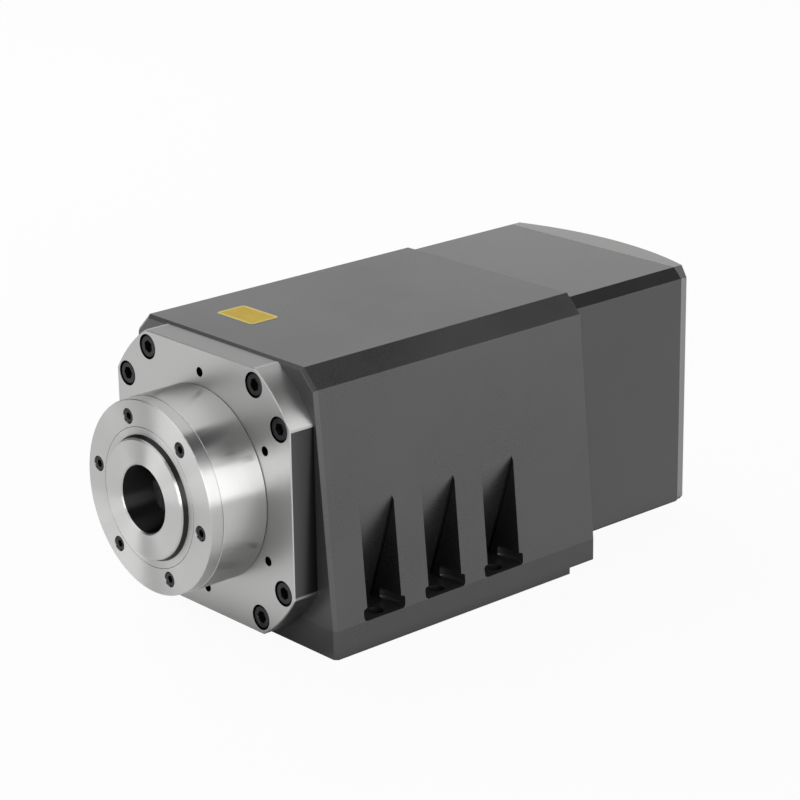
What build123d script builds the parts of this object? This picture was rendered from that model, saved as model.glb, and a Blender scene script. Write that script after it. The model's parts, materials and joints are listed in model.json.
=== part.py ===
from build123d import *
from math import cos, pi, radians, sin, sqrt
import os

# Motor spindle. The spindle turns about the Y axis, its nose faces -Y, and +Z is up.
# The origin is on the spindle axis, in the front face of the mounting flange. Sizes are in mm.

# Clearances and small edges
seat_clear = 0.03
guide_clear = 0.05
running_gap = 0.3
hole_clear = 0.5
edge_break = 0.6
slot_clear = 0.3
screw_end_gap = 1.0
cutter_over = 1.0

# Angles in degrees
diagonal = 45.0

# Socket-head screws, as shares of the thread
head_share = 1.5
head_extra = 1.0
socket_share = 0.8
socket_depth_share = 0.55
head_edge_share = 0.08

# Front flange and nose
flange_width = 190.0
flange_t = 20.0
flange_thread = 10.0
flange_screw_spread = 10.0
flange_screw_inset = 11.857
flange_corner_t = 11.0
flange_cbore_d = 18.0
flange_hole_depth = 22.0
accessory_rim = 9.5
accessory_hole_d = 6.8
accessory_hole_depth = 15.0
accessory_hole_count = 6
accessory_hole_phase = 30.0
nose_wall = 12.0
nose_len = 37.0
spigot_len = 10.0

# Nose cover and labyrinth ring
cover_step = 0.5
cover_t = 10.0
cover_thread = 6.0
cover_screw_rim = 7.0
cover_screw_count = 6
cover_screw_phase = 50.0
cover_cbore_d = 11.0
cover_hole_depth = 14.0
cover_spigot_len = 4.0
cover_lip_t = 3.5
labyrinth_wall = 5.2
labyrinth_t = 5.6

# Spindle shaft
hub_step = 6.0
hub_face_step = 2.0
hub_proud = 5.0
hub_len = 11.0
mouth_d = 48.0
taper_len = 32.0
taper_ratio = 0.1
mouth_break = 1.0
shoulder_height = 5.5
rotor_seat_d = 63.0
encoder_seat_d = 50.0
rear_collar_len = 6.0
rear_collar_height = 2.0
encoder_gap_len = 1.0
shaft_tail = 4.0

# Front bearings
front_bore_d = 65.0
front_outer_d = 100.0
front_width = 18.0
front_ball_count = 18
front_spacer_len = 8.0
front_lip_height = 4.5
front_nut_gap = 3.5
front_nut_len = 12.0

# Rear bearing
rear_bore_d = 55.0
rear_outer_d = 90.0
rear_width = 18.0
rear_ball_count = 16
rear_lip_height = 5.0
rear_lip_t = 6.0
rear_nut_wall = 7.5
rear_nut_len = 10.0
circlip_t = 2.0
circlip_groove = 2.5
circlip_width = 5.5
circlip_opening = 12.0

# Both kinds of bearing, with shares of the section between bore and outside
ball_play = 0.1
ball_share = 0.62857
land_share = 0.15429
cage_share = 0.19429
cage_inset = 0.8
nut_slot_width = 7.0
nut_slot_depth = 3.0
nut_slot_count = 4

# Motor housing
housing_len = 246.0
flange_step = 1.5
housing_top_width = 168.4
housing_chamfer = 13.2
base_width = 225.0
foot_drop = 9.0
band_height = 20.7
housing_bore_d = 168.0
front_bevel = 2.4
foot_relief = 4.6
foot_rear_gap = 24.0

# Foot bolts and their pockets
foot_bolt_inset = 10.0
foot_bolt_pitch = 56.0
foot_bolt_first = 44.7
foot_bolt_rows = 3
foot_hole_d = 11.0
pocket_width = 31.0
pocket_floor_depth = 32.5
pocket_top_z = -1.5
pocket_corner_r = 2.0
spotface_d = 42.0
spotface_height = 9.0
spotface_edge_r = 2.5

# Motor
core_len = 120.0
core_start = 60.0
air_gap = 0.7
rotor_d = 91.0
rotor_end_ring_len = 8.0
rotor_end_ring_d = 86.0
stator_d = 150.0
slot_count = 24
slot_width = 7.0
slot_depth = 15.0
tooth_tip = 2.8
end_turn_len = 22.0
end_turn_extra = 2.0

# Cooling jacket
groove_count = 9
groove_width = 10.0
groove_pitch = 17.0
groove_depth = 4.5
o_ring_d = 2.6
o_ring_squeeze_gap = 0.1
o_ring_inset = 8.0

# Rear bearing shield
shield_spigot_len = 26.0
shield_plate_t = 8.0
shield_plate_d = 200.0
shield_plate_width = 168.0
shield_thread = 8.0
shield_pcd = 184.0
shield_screw_spread = 10.0
shield_hole_depth = 20.0

# Encoder
encoder_wheel_d = 68.0
encoder_wheel_t = 7.0
encoder_teeth = 60
encoder_tooth_depth = 1.6
encoder_gap = 0.8
sensor_width = 14.0
sensor_len = 12.0
sensor_reach = 8.0

# Release cylinder
cylinder_d = 112.0
cylinder_side_t = 16.0
cylinder_front_room = 24.0
cylinder_wall_t = 8.0
cylinder_stroke_room = 40.0
cylinder_cover_t = 10.0
cylinder_cover_spigot = 4.0
cylinder_thread = 6.0
cylinder_screw_inset = 4.5
cylinder_screw_count = 6
cylinder_screw_phase = 15.0
cylinder_hole_depth = 7.0
window_width = 20.0
window_len = 18.0
piston_t = 16.0
piston_rod_d = 20.0
piston_rest_gap = 2.0
release_gap = 1.0
piston_seal_d = 3.0

# Tool clamp
clamp_stroke = 10.0
clamp_slope = 0.2
clamp_play = 0.3
cone_front_d = 25.0
cone_recess = 18.0
cone_nose_len = 2.0
neck_len = 6.0
drawbar_d = 18.0
chamber_d = 40.0
chamber_len = 19.0
spring_bore_d = 36.0
guide_len = 21.0
drawbar_tail = 16.0
drawbar_nut_len = 14.0
drawbar_nut_back = 86.0
jaw_count = 6
jaw_arc = 40.0
jaw_hook_d = 33.0
jaw_hook_len = 6.0
jaw_waist_d = 29.0
jaw_len = 24.0
jaw_foot_d = 36.0
jaw_foot_len = 6.0
jaw_hook_edge = 1.0
jaw_hook_slope = 2.0
carrier_lip_t = 5.4
carrier_back_clear = 1.0
spring_t = 2.0
spring_pairs = 20
spring_outer_d = 35.0
spring_inner_d = 19.0
spring_play = 0.05

# Rear box
box_len = 110.5
box_half_width = 92.9
box_top = 93.2
box_bottom = -89.4
box_chamfer = 7.6
box_bottom_chamfer = 1.5
box_wall = 4.0
box_lug_d = 16.0
box_lug_t = 10.0
box_lug_bite = 1.0
box_thread = 6.0
box_hole_depth = 22.0
cap_lug_t = 18.0
cap_lug_z = 45.0

# Rear cap
cap_edge_t = 6.0
cap_crown = 17.0
cap_bottom_chamfer = 3.5
cap_hollow_depth = 8.0
cap_hollow_margin = 18.0
cap_thread = 5.0
cap_hole_depth = 17.0

# Connections at the rear
port_gap = 8.0
port_seat = 14.0
port_recess_clear = 3.0
air_port_z = 30.0
power_barrel_d = 26.0
power_flange_d = 32.0
power_len = 22.0
power_cavity_d = 21.0
power_pin_d = 3.0
power_pin_pcd = 11.0
power_pin_count = 4
power_pin_phase = 45.0
signal_barrel_d = 18.0
signal_flange_d = 24.0
signal_len = 15.0
signal_cavity_d = 13.0
signal_pin_d = 1.2
signal_pin_pcd = 7.0
signal_pin_count = 8
signal_pin_phase = 45.0
connector_flange_t = 4.0
connector_back_len = 18.0
pin_root = 1.0
pin_setback = 5.0
cavity_depth = 12.0
coolant_tube_d = 12.0
coolant_pipe_d = 10.0
coolant_pipe_wall = 1.5
air_tube_d = 8.0
air_pipe_d = 6.0
air_pipe_wall = 1.0
air_duct_d = 5.0
fitting_hex_len = 12.0
fitting_barrel_len = 12.0
fitting_wall = 3.0
hex_extra = 1.0
fitting_back_len = 10.0
pipe_overlap = 6.0
pipe_seat_depth = 12.0
lead_d = 7.0
lead_pitch = 9.0
lead_count = 3
signal_lead_d = 5.0

# Sizes that follow from the ones above
flange_screw_pcd = (flange_width - 2 * flange_screw_inset) / cos(radians(diagonal - flange_screw_spread))
flange_turned_d = flange_screw_pcd + 2 * flange_corner_t
hub_d = front_outer_d - 2 * hub_step
hub_face_d = hub_d - 2 * hub_face_step
labyrinth_d = hub_d + 2 * labyrinth_wall
cover_pcd = front_outer_d + 2 * cover_screw_rim
nose_d = cover_pcd + 2 * nose_wall
cover_d = nose_d - 2 * cover_step
accessory_pcd = nose_d + 2 * accessory_rim
shoulder_d = front_bore_d + 2 * shoulder_height
front_lip_d = front_outer_d - 2 * front_lip_height
front_nut_d = front_lip_d - 2 * front_nut_gap
rear_lip_d = rear_outer_d - 2 * rear_lip_height
rear_nut_d = rear_bore_d + 2 * rear_nut_wall
housing_top = flange_width / 2 + flange_step
base_z = -(flange_width / 2 + foot_drop)
foot_bolt_span = base_width - 2 * foot_bolt_inset
cylinder_bore_d = cylinder_d - 2 * cylinder_side_t
cylinder_pcd = cylinder_d - 2 * cylinder_screw_inset
port_pcd = cylinder_d + 2 * port_gap
return_port_z = -(cylinder_d + cylinder_bore_d) / 4

# Places along the spindle axis
cover_front_y = -(nose_len + cover_t)
hub_face_y = cover_front_y - hub_proud
cover_spigot_y = -nose_len + cover_spigot_len
hub_back_y = cover_front_y + hub_len
front_1_y = cover_spigot_y
front_1_end = front_1_y + front_width
front_2_y = front_1_end + front_spacer_len
front_2_end = front_2_y + front_width
front_nut_end = front_2_end + front_nut_len
spigot_end = flange_t + spigot_len
core_y = flange_t + core_start
core_end = core_y + core_len
housing_rear = flange_t + housing_len
shield_front = housing_rear - shield_spigot_len
plate_end = housing_rear + shield_plate_t
rear_y = shield_front + rear_lip_t
rear_end = rear_y + rear_width
rear_nut_end = rear_end + rear_nut_len
wheel_y = rear_nut_end + encoder_gap_len
wheel_end = wheel_y + encoder_wheel_t
shaft_end = wheel_end + shaft_tail
cylinder_wall_y = plate_end + cylinder_front_room
cylinder_bore_y = cylinder_wall_y + cylinder_wall_t
cylinder_end = cylinder_bore_y + cylinder_stroke_room
cylinder_cover_end = cylinder_end + cylinder_cover_t
piston_end = cylinder_end - cylinder_cover_spigot - piston_rest_gap
piston_y = piston_end - piston_t
cap_y = housing_rear + box_len
seat_y = cap_y + port_seat
cone_y = hub_face_y + cone_recess
cone_face_y = cone_y + cone_nose_len
jaw_end = cone_face_y + jaw_len
cone_end = jaw_end + clamp_stroke
neck_end = cone_end + neck_len
taper_end = hub_face_y + taper_len
chamber_end = taper_end + chamber_len
guide_end = chamber_end + guide_len
drawbar_end = shaft_end - drawbar_tail
drawbar_nut_y = shaft_end - drawbar_nut_back

# Shared radii and heights
port_r = port_pcd / 2
port_xz = port_r * cos(radians(diagonal))
side_top_half = housing_top_width / 2 + housing_chamfer
side_top_z = housing_top - housing_chamfer
band_z = base_z + band_height
lug_x = box_half_width - box_wall - box_lug_d / 2 + box_lug_bite
lug_top_z = box_top - box_wall - box_lug_d / 2 + box_lug_bite
lug_bottom_z = box_bottom + box_wall + box_lug_d / 2 - box_lug_bite


def turned(*profile):
    """A solid of revolution about the spindle axis, from points of radius and y."""
    return revolve(make_face(Polyline(*profile, close=True)), Axis.Y)


def ring(inner_d, outer_d, y_start, y_end):
    """A plain ring about the spindle axis."""
    inner, outer = inner_d / 2, outer_d / 2
    return turned((inner, y_start), (outer, y_start), (outer, y_end), (inner, y_end))


def rod(diameter, y_start, y_end, x=0.0, z=0.0):
    """A round bar along Y."""
    length = y_end - y_start
    bar = Cylinder(diameter / 2, length, align=(Align.CENTER, Align.CENTER, Align.MIN))
    return Pos(x, y_start, z) * Rot(-90, 0, 0) * bar


def pipe(outer_d, inner_d, y_start, y_end, x, z):
    """A round tube along Y."""
    return rod(outer_d, y_start, y_end, x, z) - rod(inner_d, y_start, y_end, x, z)


def prism(outline, y_start, y_end):
    """A straight bar along Y whose section is an outline of x and z points."""
    face = make_face(Polyline(*outline, close=True))
    return extrude(Plane.XZ.offset(-y_end) * face, y_end - y_start)


def block(x_size, y_start, y_end, z_size, x=0.0, z=0.0):
    """A box along Y, centred on x and z."""
    return Pos(x, (y_start + y_end) / 2, z) * Box(x_size, y_end - y_start, z_size)


def hexagon(across_flats, y_start, y_end, x=0.0, z=0.0):
    """A hexagonal bar along Y."""
    face = RegularPolygon(across_flats / 2, 6, major_radius=False)
    return Pos(x, y_end, z) * extrude(Plane.XZ * face, y_end - y_start)


def torus(ring_d, wire_d, y):
    """A round ring about the spindle axis."""
    return Pos(0, y, 0) * Rot(90, 0, 0) * Torus(ring_d / 2, wire_d / 2)


def around(pcd, count, phase):
    """The x and z places of holes spaced evenly on a circle."""
    angles = [radians(phase + 360 * k / count) for k in range(count)]
    return [(pcd / 2 * cos(a), pcd / 2 * sin(a)) for a in angles]


def near_corners(pcd, spread):
    """The x and z places of two holes near each corner, either side of the diagonal."""
    angles = [radians(diagonal + 90 * k + side * spread) for k in range(4) for side in (-1, 1)]
    return [(pcd / 2 * cos(a), pcd / 2 * sin(a)) for a in angles]


def group(shapes):
    """Separate solids kept together in one node."""
    return Compound([solid for shape in shapes for solid in shape.solids()])


def head_d(thread):
    """Head diameter of a socket-head screw."""
    return head_share * thread + head_extra


def cap_screw(thread, length, y_head, x, z, into=1):
    """A socket-head screw whose head top is at y_head, pointing along +Y or -Y."""
    head = rod(head_d(thread), 0, thread)
    rim = head.edges().filter_by(GeomType.CIRCLE).sort_by(Axis.Y)[0]
    head = chamfer(rim, thread * head_edge_share)
    screw = head + rod(thread, thread, thread + length)
    screw -= hexagon(thread * socket_share, 0, thread * socket_depth_share)
    turn = 0 if into > 0 else 180
    return Pos(x, y_head, z) * Rot(0, 0, turn) * screw


def screw_hole(thread, y_start, y_end, x, z):
    """A clearance hole along Y for a screw."""
    return rod(thread + 2 * hole_clear, y_start, y_end, x, z)


def thread_hole(thread, y_start, y_end, x, z):
    """A tapped hole along Y, at the size of the thread's outside."""
    return rod(thread + 2 * seat_clear, y_start, y_end, x, z)


def box_outline(half_width, top, bottom, top_chamfer, bottom_chamfer):
    """The outline of the rear box, with its corners cut off."""
    right = [
        (half_width - bottom_chamfer, bottom),
        (half_width, bottom + bottom_chamfer),
        (half_width, top - top_chamfer),
        (half_width - top_chamfer, top),
    ]
    left = [(-x, z) for x, z in reversed(right)]
    return right + left


def front_bearing_housing():
    """The square flange and the nose in one piece, with a spigot into the motor housing."""
    flange = block(flange_width, 0, flange_t, flange_width) & rod(flange_turned_d, 0, flange_t)
    rim = flange.edges().filter_by(lambda e: abs(e.center().Y) < seat_clear)
    flange = chamfer(rim, edge_break)
    body = flange + rod(nose_d, -nose_len, 0)
    body += rod(housing_bore_d - 2 * seat_clear, flange_t, spigot_end)
    nose_rim = body.edges().filter_by(GeomType.CIRCLE).sort_by(Axis.Y)[0]
    body = chamfer(nose_rim, edge_break / 2)
    body -= rod(front_outer_d, -nose_len, front_2_end)
    body -= rod(front_lip_d, front_2_end, spigot_end)
    for x, z in near_corners(flange_screw_pcd, flange_screw_spread):
        body -= screw_hole(flange_thread, 0, flange_t, x, z)
        body -= rod(flange_cbore_d, 0, flange_thread + hole_clear, x, z)
    for x, z in around(accessory_pcd, accessory_hole_count, accessory_hole_phase):
        body -= rod(accessory_hole_d, 0, accessory_hole_depth, x, z)
    for x, z in around(cover_pcd, cover_screw_count, cover_screw_phase):
        body -= thread_hole(cover_thread, -nose_len, -nose_len + cover_hole_depth, x, z)
    return body


def flange_screws():
    """Eight screws that hold the flange to the motor housing."""
    places = near_corners(flange_screw_pcd, flange_screw_spread)
    length = flange_t - flange_thread + flange_hole_depth - screw_end_gap - hole_clear
    return group(cap_screw(flange_thread, length, hole_clear, x, z) for x, z in places)


def nose_cover_ring():
    """The cover that clamps the front bearings and closes the nose."""
    bore = labyrinth_d / 2 + running_gap
    lip = hub_d / 2 + running_gap
    spigot = front_outer_d / 2 - seat_clear
    outer = cover_d / 2
    lip_y = -nose_len - cover_lip_t
    cover = turned(
        (bore, cover_front_y),
        (outer - edge_break, cover_front_y),
        (outer, cover_front_y + edge_break),
        (outer, -nose_len - edge_break / 2),
        (outer - edge_break / 2, -nose_len),
        (spigot, -nose_len),
        (spigot, cover_spigot_y),
        (lip, cover_spigot_y),
        (lip, lip_y),
        (bore, lip_y),
    )
    for x, z in around(cover_pcd, cover_screw_count, cover_screw_phase):
        cover -= screw_hole(cover_thread, cover_front_y, -nose_len, x, z)
        cover -= rod(cover_cbore_d, cover_front_y, cover_front_y + cover_thread + hole_clear, x, z)
    return cover


def cover_screws():
    """The screws of the nose cover ring."""
    places = around(cover_pcd, cover_screw_count, cover_screw_phase)
    head_y = cover_front_y + hole_clear
    length = cover_t - cover_thread + cover_hole_depth - screw_end_gap - hole_clear
    return group(cap_screw(cover_thread, length, head_y, x, z) for x, z in places)


def labyrinth_ring():
    """The ring that turns with the hub inside the nose cover ring."""
    return ring(hub_d + 2 * seat_clear, labyrinth_d, cover_front_y, cover_front_y + labyrinth_t)


def spindle_shaft():
    """The hollow shaft, from the hub at the nose to the encoder seat."""
    hub, hub_face = hub_d / 2, hub_face_d / 2
    shoulder = shoulder_d / 2
    rotor_end = rear_y - rear_collar_len
    collar = rear_bore_d / 2 + rear_collar_height
    outside = turned(
        (0, hub_face_y),
        (hub_face - edge_break, hub_face_y),
        (hub_face, hub_face_y + edge_break),
        (hub, cover_front_y),
        (hub, hub_back_y),
        (shoulder, hub_back_y),
        (shoulder, front_1_y),
        (front_bore_d / 2, front_1_y),
        (front_bore_d / 2, front_nut_end),
        (rotor_seat_d / 2, front_nut_end),
        (rotor_seat_d / 2, rotor_end),
        (collar, rotor_end),
        (collar, rear_y),
        (rear_bore_d / 2, rear_y),
        (rear_bore_d / 2, rear_nut_end),
        (encoder_seat_d / 2, rear_nut_end),
        (encoder_seat_d / 2, shaft_end),
        (0, shaft_end),
    )
    mouth = mouth_d / 2
    taper_small = mouth - taper_len * taper_ratio / 2
    guide = drawbar_d / 2 + guide_clear
    inside = turned(
        (0, hub_face_y),
        (mouth + mouth_break, hub_face_y),
        (mouth, hub_face_y + mouth_break),
        (taper_small, taper_end),
        (chamber_d / 2, taper_end),
        (chamber_d / 2, chamber_end),
        (guide, chamber_end),
        (guide, guide_end),
        (spring_bore_d / 2, guide_end),
        (spring_bore_d / 2, shaft_end),
        (0, shaft_end),
    )
    return outside - inside


def lands(bore_d, outer_d):
    """The diameters of the inner ring's and the outer ring's shoulders."""
    height = land_share * (outer_d - bore_d) / 2
    pitch_d = (bore_d + outer_d) / 2
    return pitch_d - 2 * height, pitch_d + 2 * height


def bearing(bore_d, outer_d, width, ball_count, y_start):
    """The outer ring, inner ring, cage and balls of one ball bearing."""
    y_mid = y_start + width / 2
    section = (outer_d - bore_d) / 2
    pitch_d = bore_d + section
    ball_d = ball_share * section
    cage_wall = cage_share * section
    cage_half = width / 2 - cage_inset
    land_in, land_out = lands(bore_d, outer_d)
    groove = torus(pitch_d, ball_d + 2 * ball_play, y_mid)
    outer = ring(land_out, outer_d - 2 * seat_clear, y_start, y_start + width) - groove
    inner = ring(bore_d + 2 * seat_clear, land_in, y_start, y_start + width) - groove
    cage = ring(pitch_d - cage_wall, pitch_d + cage_wall, y_mid - cage_half, y_mid + cage_half)
    balls = [Pos(x, y_mid, z) * Sphere(ball_d / 2) for x, z in around(pitch_d, ball_count, 0)]
    pocket = Rot(0, 90, 0) * Cylinder(ball_d / 2 + ball_play, 2 * section)
    for k in range(ball_count):
        cage -= Rot(0, 360 * k / ball_count, 0) * Pos(pitch_d / 2, y_mid, 0) * pocket
    return outer, inner, cage, balls


def lock_nut(bore_d, outer_d, y_start, y_end):
    """A round nut with spanner slots."""
    nut = ring(bore_d + 2 * seat_clear, outer_d, y_start, y_end)
    for k in range(nut_slot_count):
        slot = block(nut_slot_depth * 2, y_start, y_end, nut_slot_width, outer_d / 2)
        nut -= Rot(0, 360 * k / nut_slot_count, 0) * slot
    return nut


def side_x(z):
    """How far out the sloping side of the motor housing lies at a height."""
    fall = (base_width / 2 - side_top_half) / (side_top_z - band_z)
    return base_width / 2 - fall * (z - band_z)


def pocket_cutter(y_mid):
    """The space of one foot-bolt pocket: a sloping slot, a spot face and the bolt hole."""
    back_x = base_width / 2 - pocket_floor_depth
    top_x = side_x(pocket_top_z)
    rise = (pocket_top_z - band_z) / (top_x - back_x)
    far_x = base_width
    outline = [(back_x, band_z), (far_x, band_z), (far_x, band_z + rise * (far_x - back_x))]
    slot = prism(outline, y_mid - pocket_width / 2, y_mid + pocket_width / 2)
    sloping = slot.edges()
    for axis in (Axis.X, Axis.Y, Axis.Z):
        sloping = sloping.filter_by(axis, reverse=True)
    slot = fillet(sloping, pocket_corner_r)
    spot = Cylinder(spotface_d / 2, spotface_height, align=(Align.CENTER, Align.CENTER, Align.MIN))
    spot = fillet(spot.edges().filter_by(GeomType.CIRCLE), spotface_edge_r)
    hole = Cylinder(foot_hole_d / 2, band_height, align=(Align.CENTER, Align.CENTER, Align.MAX))
    place = Pos(foot_bolt_span / 2, y_mid, band_z)
    return slot + place * spot + place * hole


def foot_bolt_ys():
    """Where the foot bolts stand along the housing."""
    return [flange_t + foot_bolt_first + foot_bolt_pitch * k for k in range(foot_bolt_rows)]


def motor_housing():
    """The block that holds the motor, with its foot and bolt pockets."""
    top_half, base_half = housing_top_width / 2, base_width / 2
    right = [
        (base_half, base_z),
        (base_half, band_z),
        (side_top_half, side_top_z),
        (top_half, housing_top),
    ]
    outline = right + [(-x, z) for x, z in reversed(right)]
    body = prism(outline, flange_t, housing_rear)
    front = body.edges().filter_by(lambda e: abs(e.center().Y - flange_t) < seat_clear)
    body = chamfer(front.filter_by(lambda e: e.center().Z > band_z), front_bevel)
    body -= rod(housing_bore_d, flange_t, housing_rear)
    foot_end = housing_rear - foot_rear_gap
    relief = block(base_width, foot_end, housing_rear, foot_relief, 0, base_z + foot_relief / 2)
    body -= relief
    for y in foot_bolt_ys():
        cutter = pocket_cutter(y)
        body -= cutter
        body -= mirror(cutter, Plane.YZ)
    for x, z in near_corners(flange_screw_pcd, flange_screw_spread):
        body -= thread_hole(flange_thread, flange_t, flange_t + flange_hole_depth, x, z)
    for x, z in near_corners(shield_pcd, shield_screw_spread):
        body -= thread_hole(shield_thread, housing_rear - shield_hole_depth, housing_rear, x, z)
    for x, z in box_lug_places():
        body -= thread_hole(box_thread, housing_rear - box_hole_depth, housing_rear, x, z)
    return body


def rotor_core():
    """The rotor's steel core, shrunk on the shaft."""
    return ring(rotor_seat_d + 2 * seat_clear, rotor_d, core_y, core_end)


def rotor_end_rings():
    """The rings at both ends of the rotor core."""
    inner = rotor_seat_d + 2 * seat_clear
    front = ring(inner, rotor_end_ring_d, core_y - rotor_end_ring_len, core_y)
    rear = ring(inner, rotor_end_ring_d, core_end, core_end + rotor_end_ring_len)
    return group([front, rear])


def slot_bars(width, r_start, r_end, y_start, y_end):
    """Straight bars along Y, one in each stator slot."""
    middle = (r_start + r_end) / 2
    bar = block(r_end - r_start, y_start, y_end, width, middle)
    return [Rot(0, 360 * k / slot_count, 0) * bar for k in range(slot_count)]


def slot_bottom_r():
    """Radius where the stator slots begin."""
    return rotor_d / 2 + air_gap + tooth_tip


def stator_core():
    """The slotted steel core around the rotor."""
    core = ring(rotor_d + 2 * air_gap, stator_d - 2 * seat_clear, core_y, core_end)
    start = slot_bottom_r()
    return core - slot_bars(slot_width, start, start + slot_depth, core_y, core_end)


def stator_windings():
    """The windings: a bar in each slot and the end turns at both ends."""
    start = slot_bottom_r() + slot_clear
    end = slot_bottom_r() + slot_depth - slot_clear
    y_start, y_end = core_y - end_turn_len, core_end + end_turn_len
    turns_d = 2 * (end + end_turn_extra)
    front = ring(2 * start, turns_d, y_start, core_y - end_turn_extra)
    rear = ring(2 * start, turns_d, core_end + end_turn_extra, y_end)
    bars = slot_bars(slot_width - 2 * slot_clear, start, end, y_start + slot_clear, y_end - slot_clear)
    return front + rear + bars


def jacket_o_ring_ys():
    """Where the two O-rings of the jacket lie."""
    return [spigot_end + o_ring_inset, shield_front - o_ring_inset]


def o_ring_groove(bore_d, y):
    """The groove of an outside O-ring that seals against a bore."""
    groove_w = o_ring_d + 2 * o_ring_squeeze_gap
    floor_d = bore_d - 2 * groove_w
    return ring(floor_d, bore_d + cutter_over, y - groove_w / 2, y + groove_w / 2)


def cooling_jacket():
    """The sleeve between stator and housing, with coolant grooves on its outside."""
    outer = housing_bore_d - 2 * seat_clear
    jacket = ring(stator_d, outer, spigot_end, shield_front)
    middle = (spigot_end + shield_front) / 2
    floor_d = housing_bore_d - 2 * groove_depth
    for k in range(groove_count):
        y = middle + (k - (groove_count - 1) / 2) * groove_pitch
        jacket -= ring(floor_d, outer + cutter_over, y - groove_width / 2, y + groove_width / 2)
        if k < groove_count - 1:
            side = 1 if k % 2 else -1
            jacket -= block(groove_width, y, y + groove_pitch, 2 * groove_depth, 0, side * outer / 2)
    for y in jacket_o_ring_ys():
        jacket -= o_ring_groove(housing_bore_d, y)
    return jacket


def jacket_o_rings():
    """The O-rings that close the jacket's ends."""
    ring_d = housing_bore_d - o_ring_d - 2 * o_ring_squeeze_gap
    return group(torus(ring_d, o_ring_d, y) for y in jacket_o_ring_ys())


def rear_bearing_shield():
    """The plate that carries the rear bearing and closes the motor housing."""
    plate = block(shield_plate_width, housing_rear, plate_end, shield_plate_width)
    plate &= rod(shield_plate_d, housing_rear, plate_end)
    shield = plate + rod(housing_bore_d - 2 * seat_clear, shield_front, housing_rear)
    shield -= rod(rear_lip_d, shield_front, rear_y)
    shield -= rod(rear_outer_d, rear_y, plate_end)
    groove_d = rear_outer_d + 2 * circlip_groove
    shield -= ring(rear_outer_d - cutter_over, groove_d, rear_end, rear_end + circlip_t)
    for x, z in near_corners(shield_pcd, shield_screw_spread):
        shield -= screw_hole(shield_thread, housing_rear, plate_end, x, z)
    for x, z in around(cylinder_pcd, cylinder_screw_count, cylinder_screw_phase):
        shield -= thread_hole(cylinder_thread, plate_end - cylinder_hole_depth, plate_end, x, z)
    for x, z in lead_places():
        shield -= rod(lead_d + 2 * hole_clear, shield_front, plate_end, x, z)
    for x, z in coolant_places():
        shield -= rod(coolant_pipe_d + 2 * seat_clear, plate_end - pipe_seat_depth, plate_end, x, z)
    return shield


def shield_screws():
    """The screws of the rear bearing shield."""
    places = near_corners(shield_pcd, shield_screw_spread)
    head_y = plate_end + shield_thread
    length = shield_plate_t + shield_hole_depth - screw_end_gap
    return group(cap_screw(shield_thread, length, head_y, x, z, -1) for x, z in places)


def rear_circlip():
    """The snap ring that holds the rear bearing in its shield."""
    outer = rear_outer_d + 2 * circlip_groove - 2 * seat_clear
    y_start, y_end = rear_end + seat_clear, rear_end + circlip_t - seat_clear
    clip = ring(outer - 2 * circlip_width, outer, y_start, y_end)
    return clip - block(circlip_opening, y_start, y_end, outer, 0, -outer / 2)


def encoder_wheel():
    """The toothed wheel that the sensor reads."""
    wheel = ring(encoder_seat_d + 2 * seat_clear, encoder_wheel_d, wheel_y, wheel_end)
    gap_width = pi * encoder_wheel_d / encoder_teeth / 2
    gap = block(2 * encoder_tooth_depth, wheel_y, wheel_end, gap_width, encoder_wheel_d / 2)
    return wheel - [Rot(0, 360 * k / encoder_teeth, 0) * gap for k in range(encoder_teeth)]


def encoder_sensor():
    """The sensor head, screwed to the rear bearing shield beside the wheel."""
    inner = encoder_wheel_d / 2 + encoder_gap
    outer = port_r + sensor_reach
    y_start, y_end = plate_end, plate_end + sensor_len
    body = block(outer - inner, y_start, y_end, sensor_width, (inner + outer) / 2)
    return Rot(0, -diagonal, 0) * body


def release_cylinder():
    """The cylinder that pushes the drawbar forward to let go of a tool."""
    body = ring(cylinder_bore_d, cylinder_d, plate_end, cylinder_end)
    rod_bore = piston_rod_d + 2 * guide_clear
    body += ring(rod_bore, cylinder_bore_d + cutter_over, cylinder_wall_y, cylinder_bore_y)
    window = block(cylinder_d, plate_end, plate_end + window_len, window_width, cylinder_d / 2)
    for angle in (-diagonal, 180 - diagonal):
        body -= Rot(0, angle, 0) * window
    for x, z in around(cylinder_pcd, cylinder_screw_count, cylinder_screw_phase):
        body -= screw_hole(cylinder_thread, plate_end, cylinder_end, x, z)
    duct_y = cylinder_bore_y + air_pipe_d / 2
    body -= rod(air_pipe_d - 2 * air_pipe_wall, duct_y, cylinder_end, 0, return_port_z)
    cross = Cylinder(air_duct_d / 2, -return_port_z, align=(Align.CENTER, Align.CENTER, Align.MIN))
    return body - Pos(0, duct_y, return_port_z) * cross


def cylinder_cover():
    """The rear cover of the release cylinder, with its two air ports."""
    cover = rod(cylinder_d, cylinder_end, cylinder_cover_end)
    spigot_d = cylinder_bore_d - 2 * seat_clear
    cover += rod(spigot_d, cylinder_end - cylinder_cover_spigot, cylinder_end)
    for x, z in around(cylinder_pcd, cylinder_screw_count, cylinder_screw_phase):
        cover -= screw_hole(cylinder_thread, cylinder_end, cylinder_cover_end, x, z)
    for z in (air_port_z, return_port_z):
        cover -= rod(air_pipe_d - 2 * air_pipe_wall, cylinder_end - cylinder_cover_spigot,
                     cylinder_cover_end, 0, z)
        cover -= rod(air_pipe_d + 2 * seat_clear, cylinder_cover_end - pipe_overlap,
                     cylinder_cover_end, 0, z)
    return cover


def cylinder_screws():
    """Long screws through the cylinder and its cover into the shield."""
    places = around(cylinder_pcd, cylinder_screw_count, cylinder_screw_phase)
    length = cylinder_cover_end - plate_end + cylinder_hole_depth - screw_end_gap
    head_y = cylinder_cover_end + cylinder_thread
    return group(cap_screw(cylinder_thread, length, head_y, x, z, -1) for x, z in places)


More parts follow.
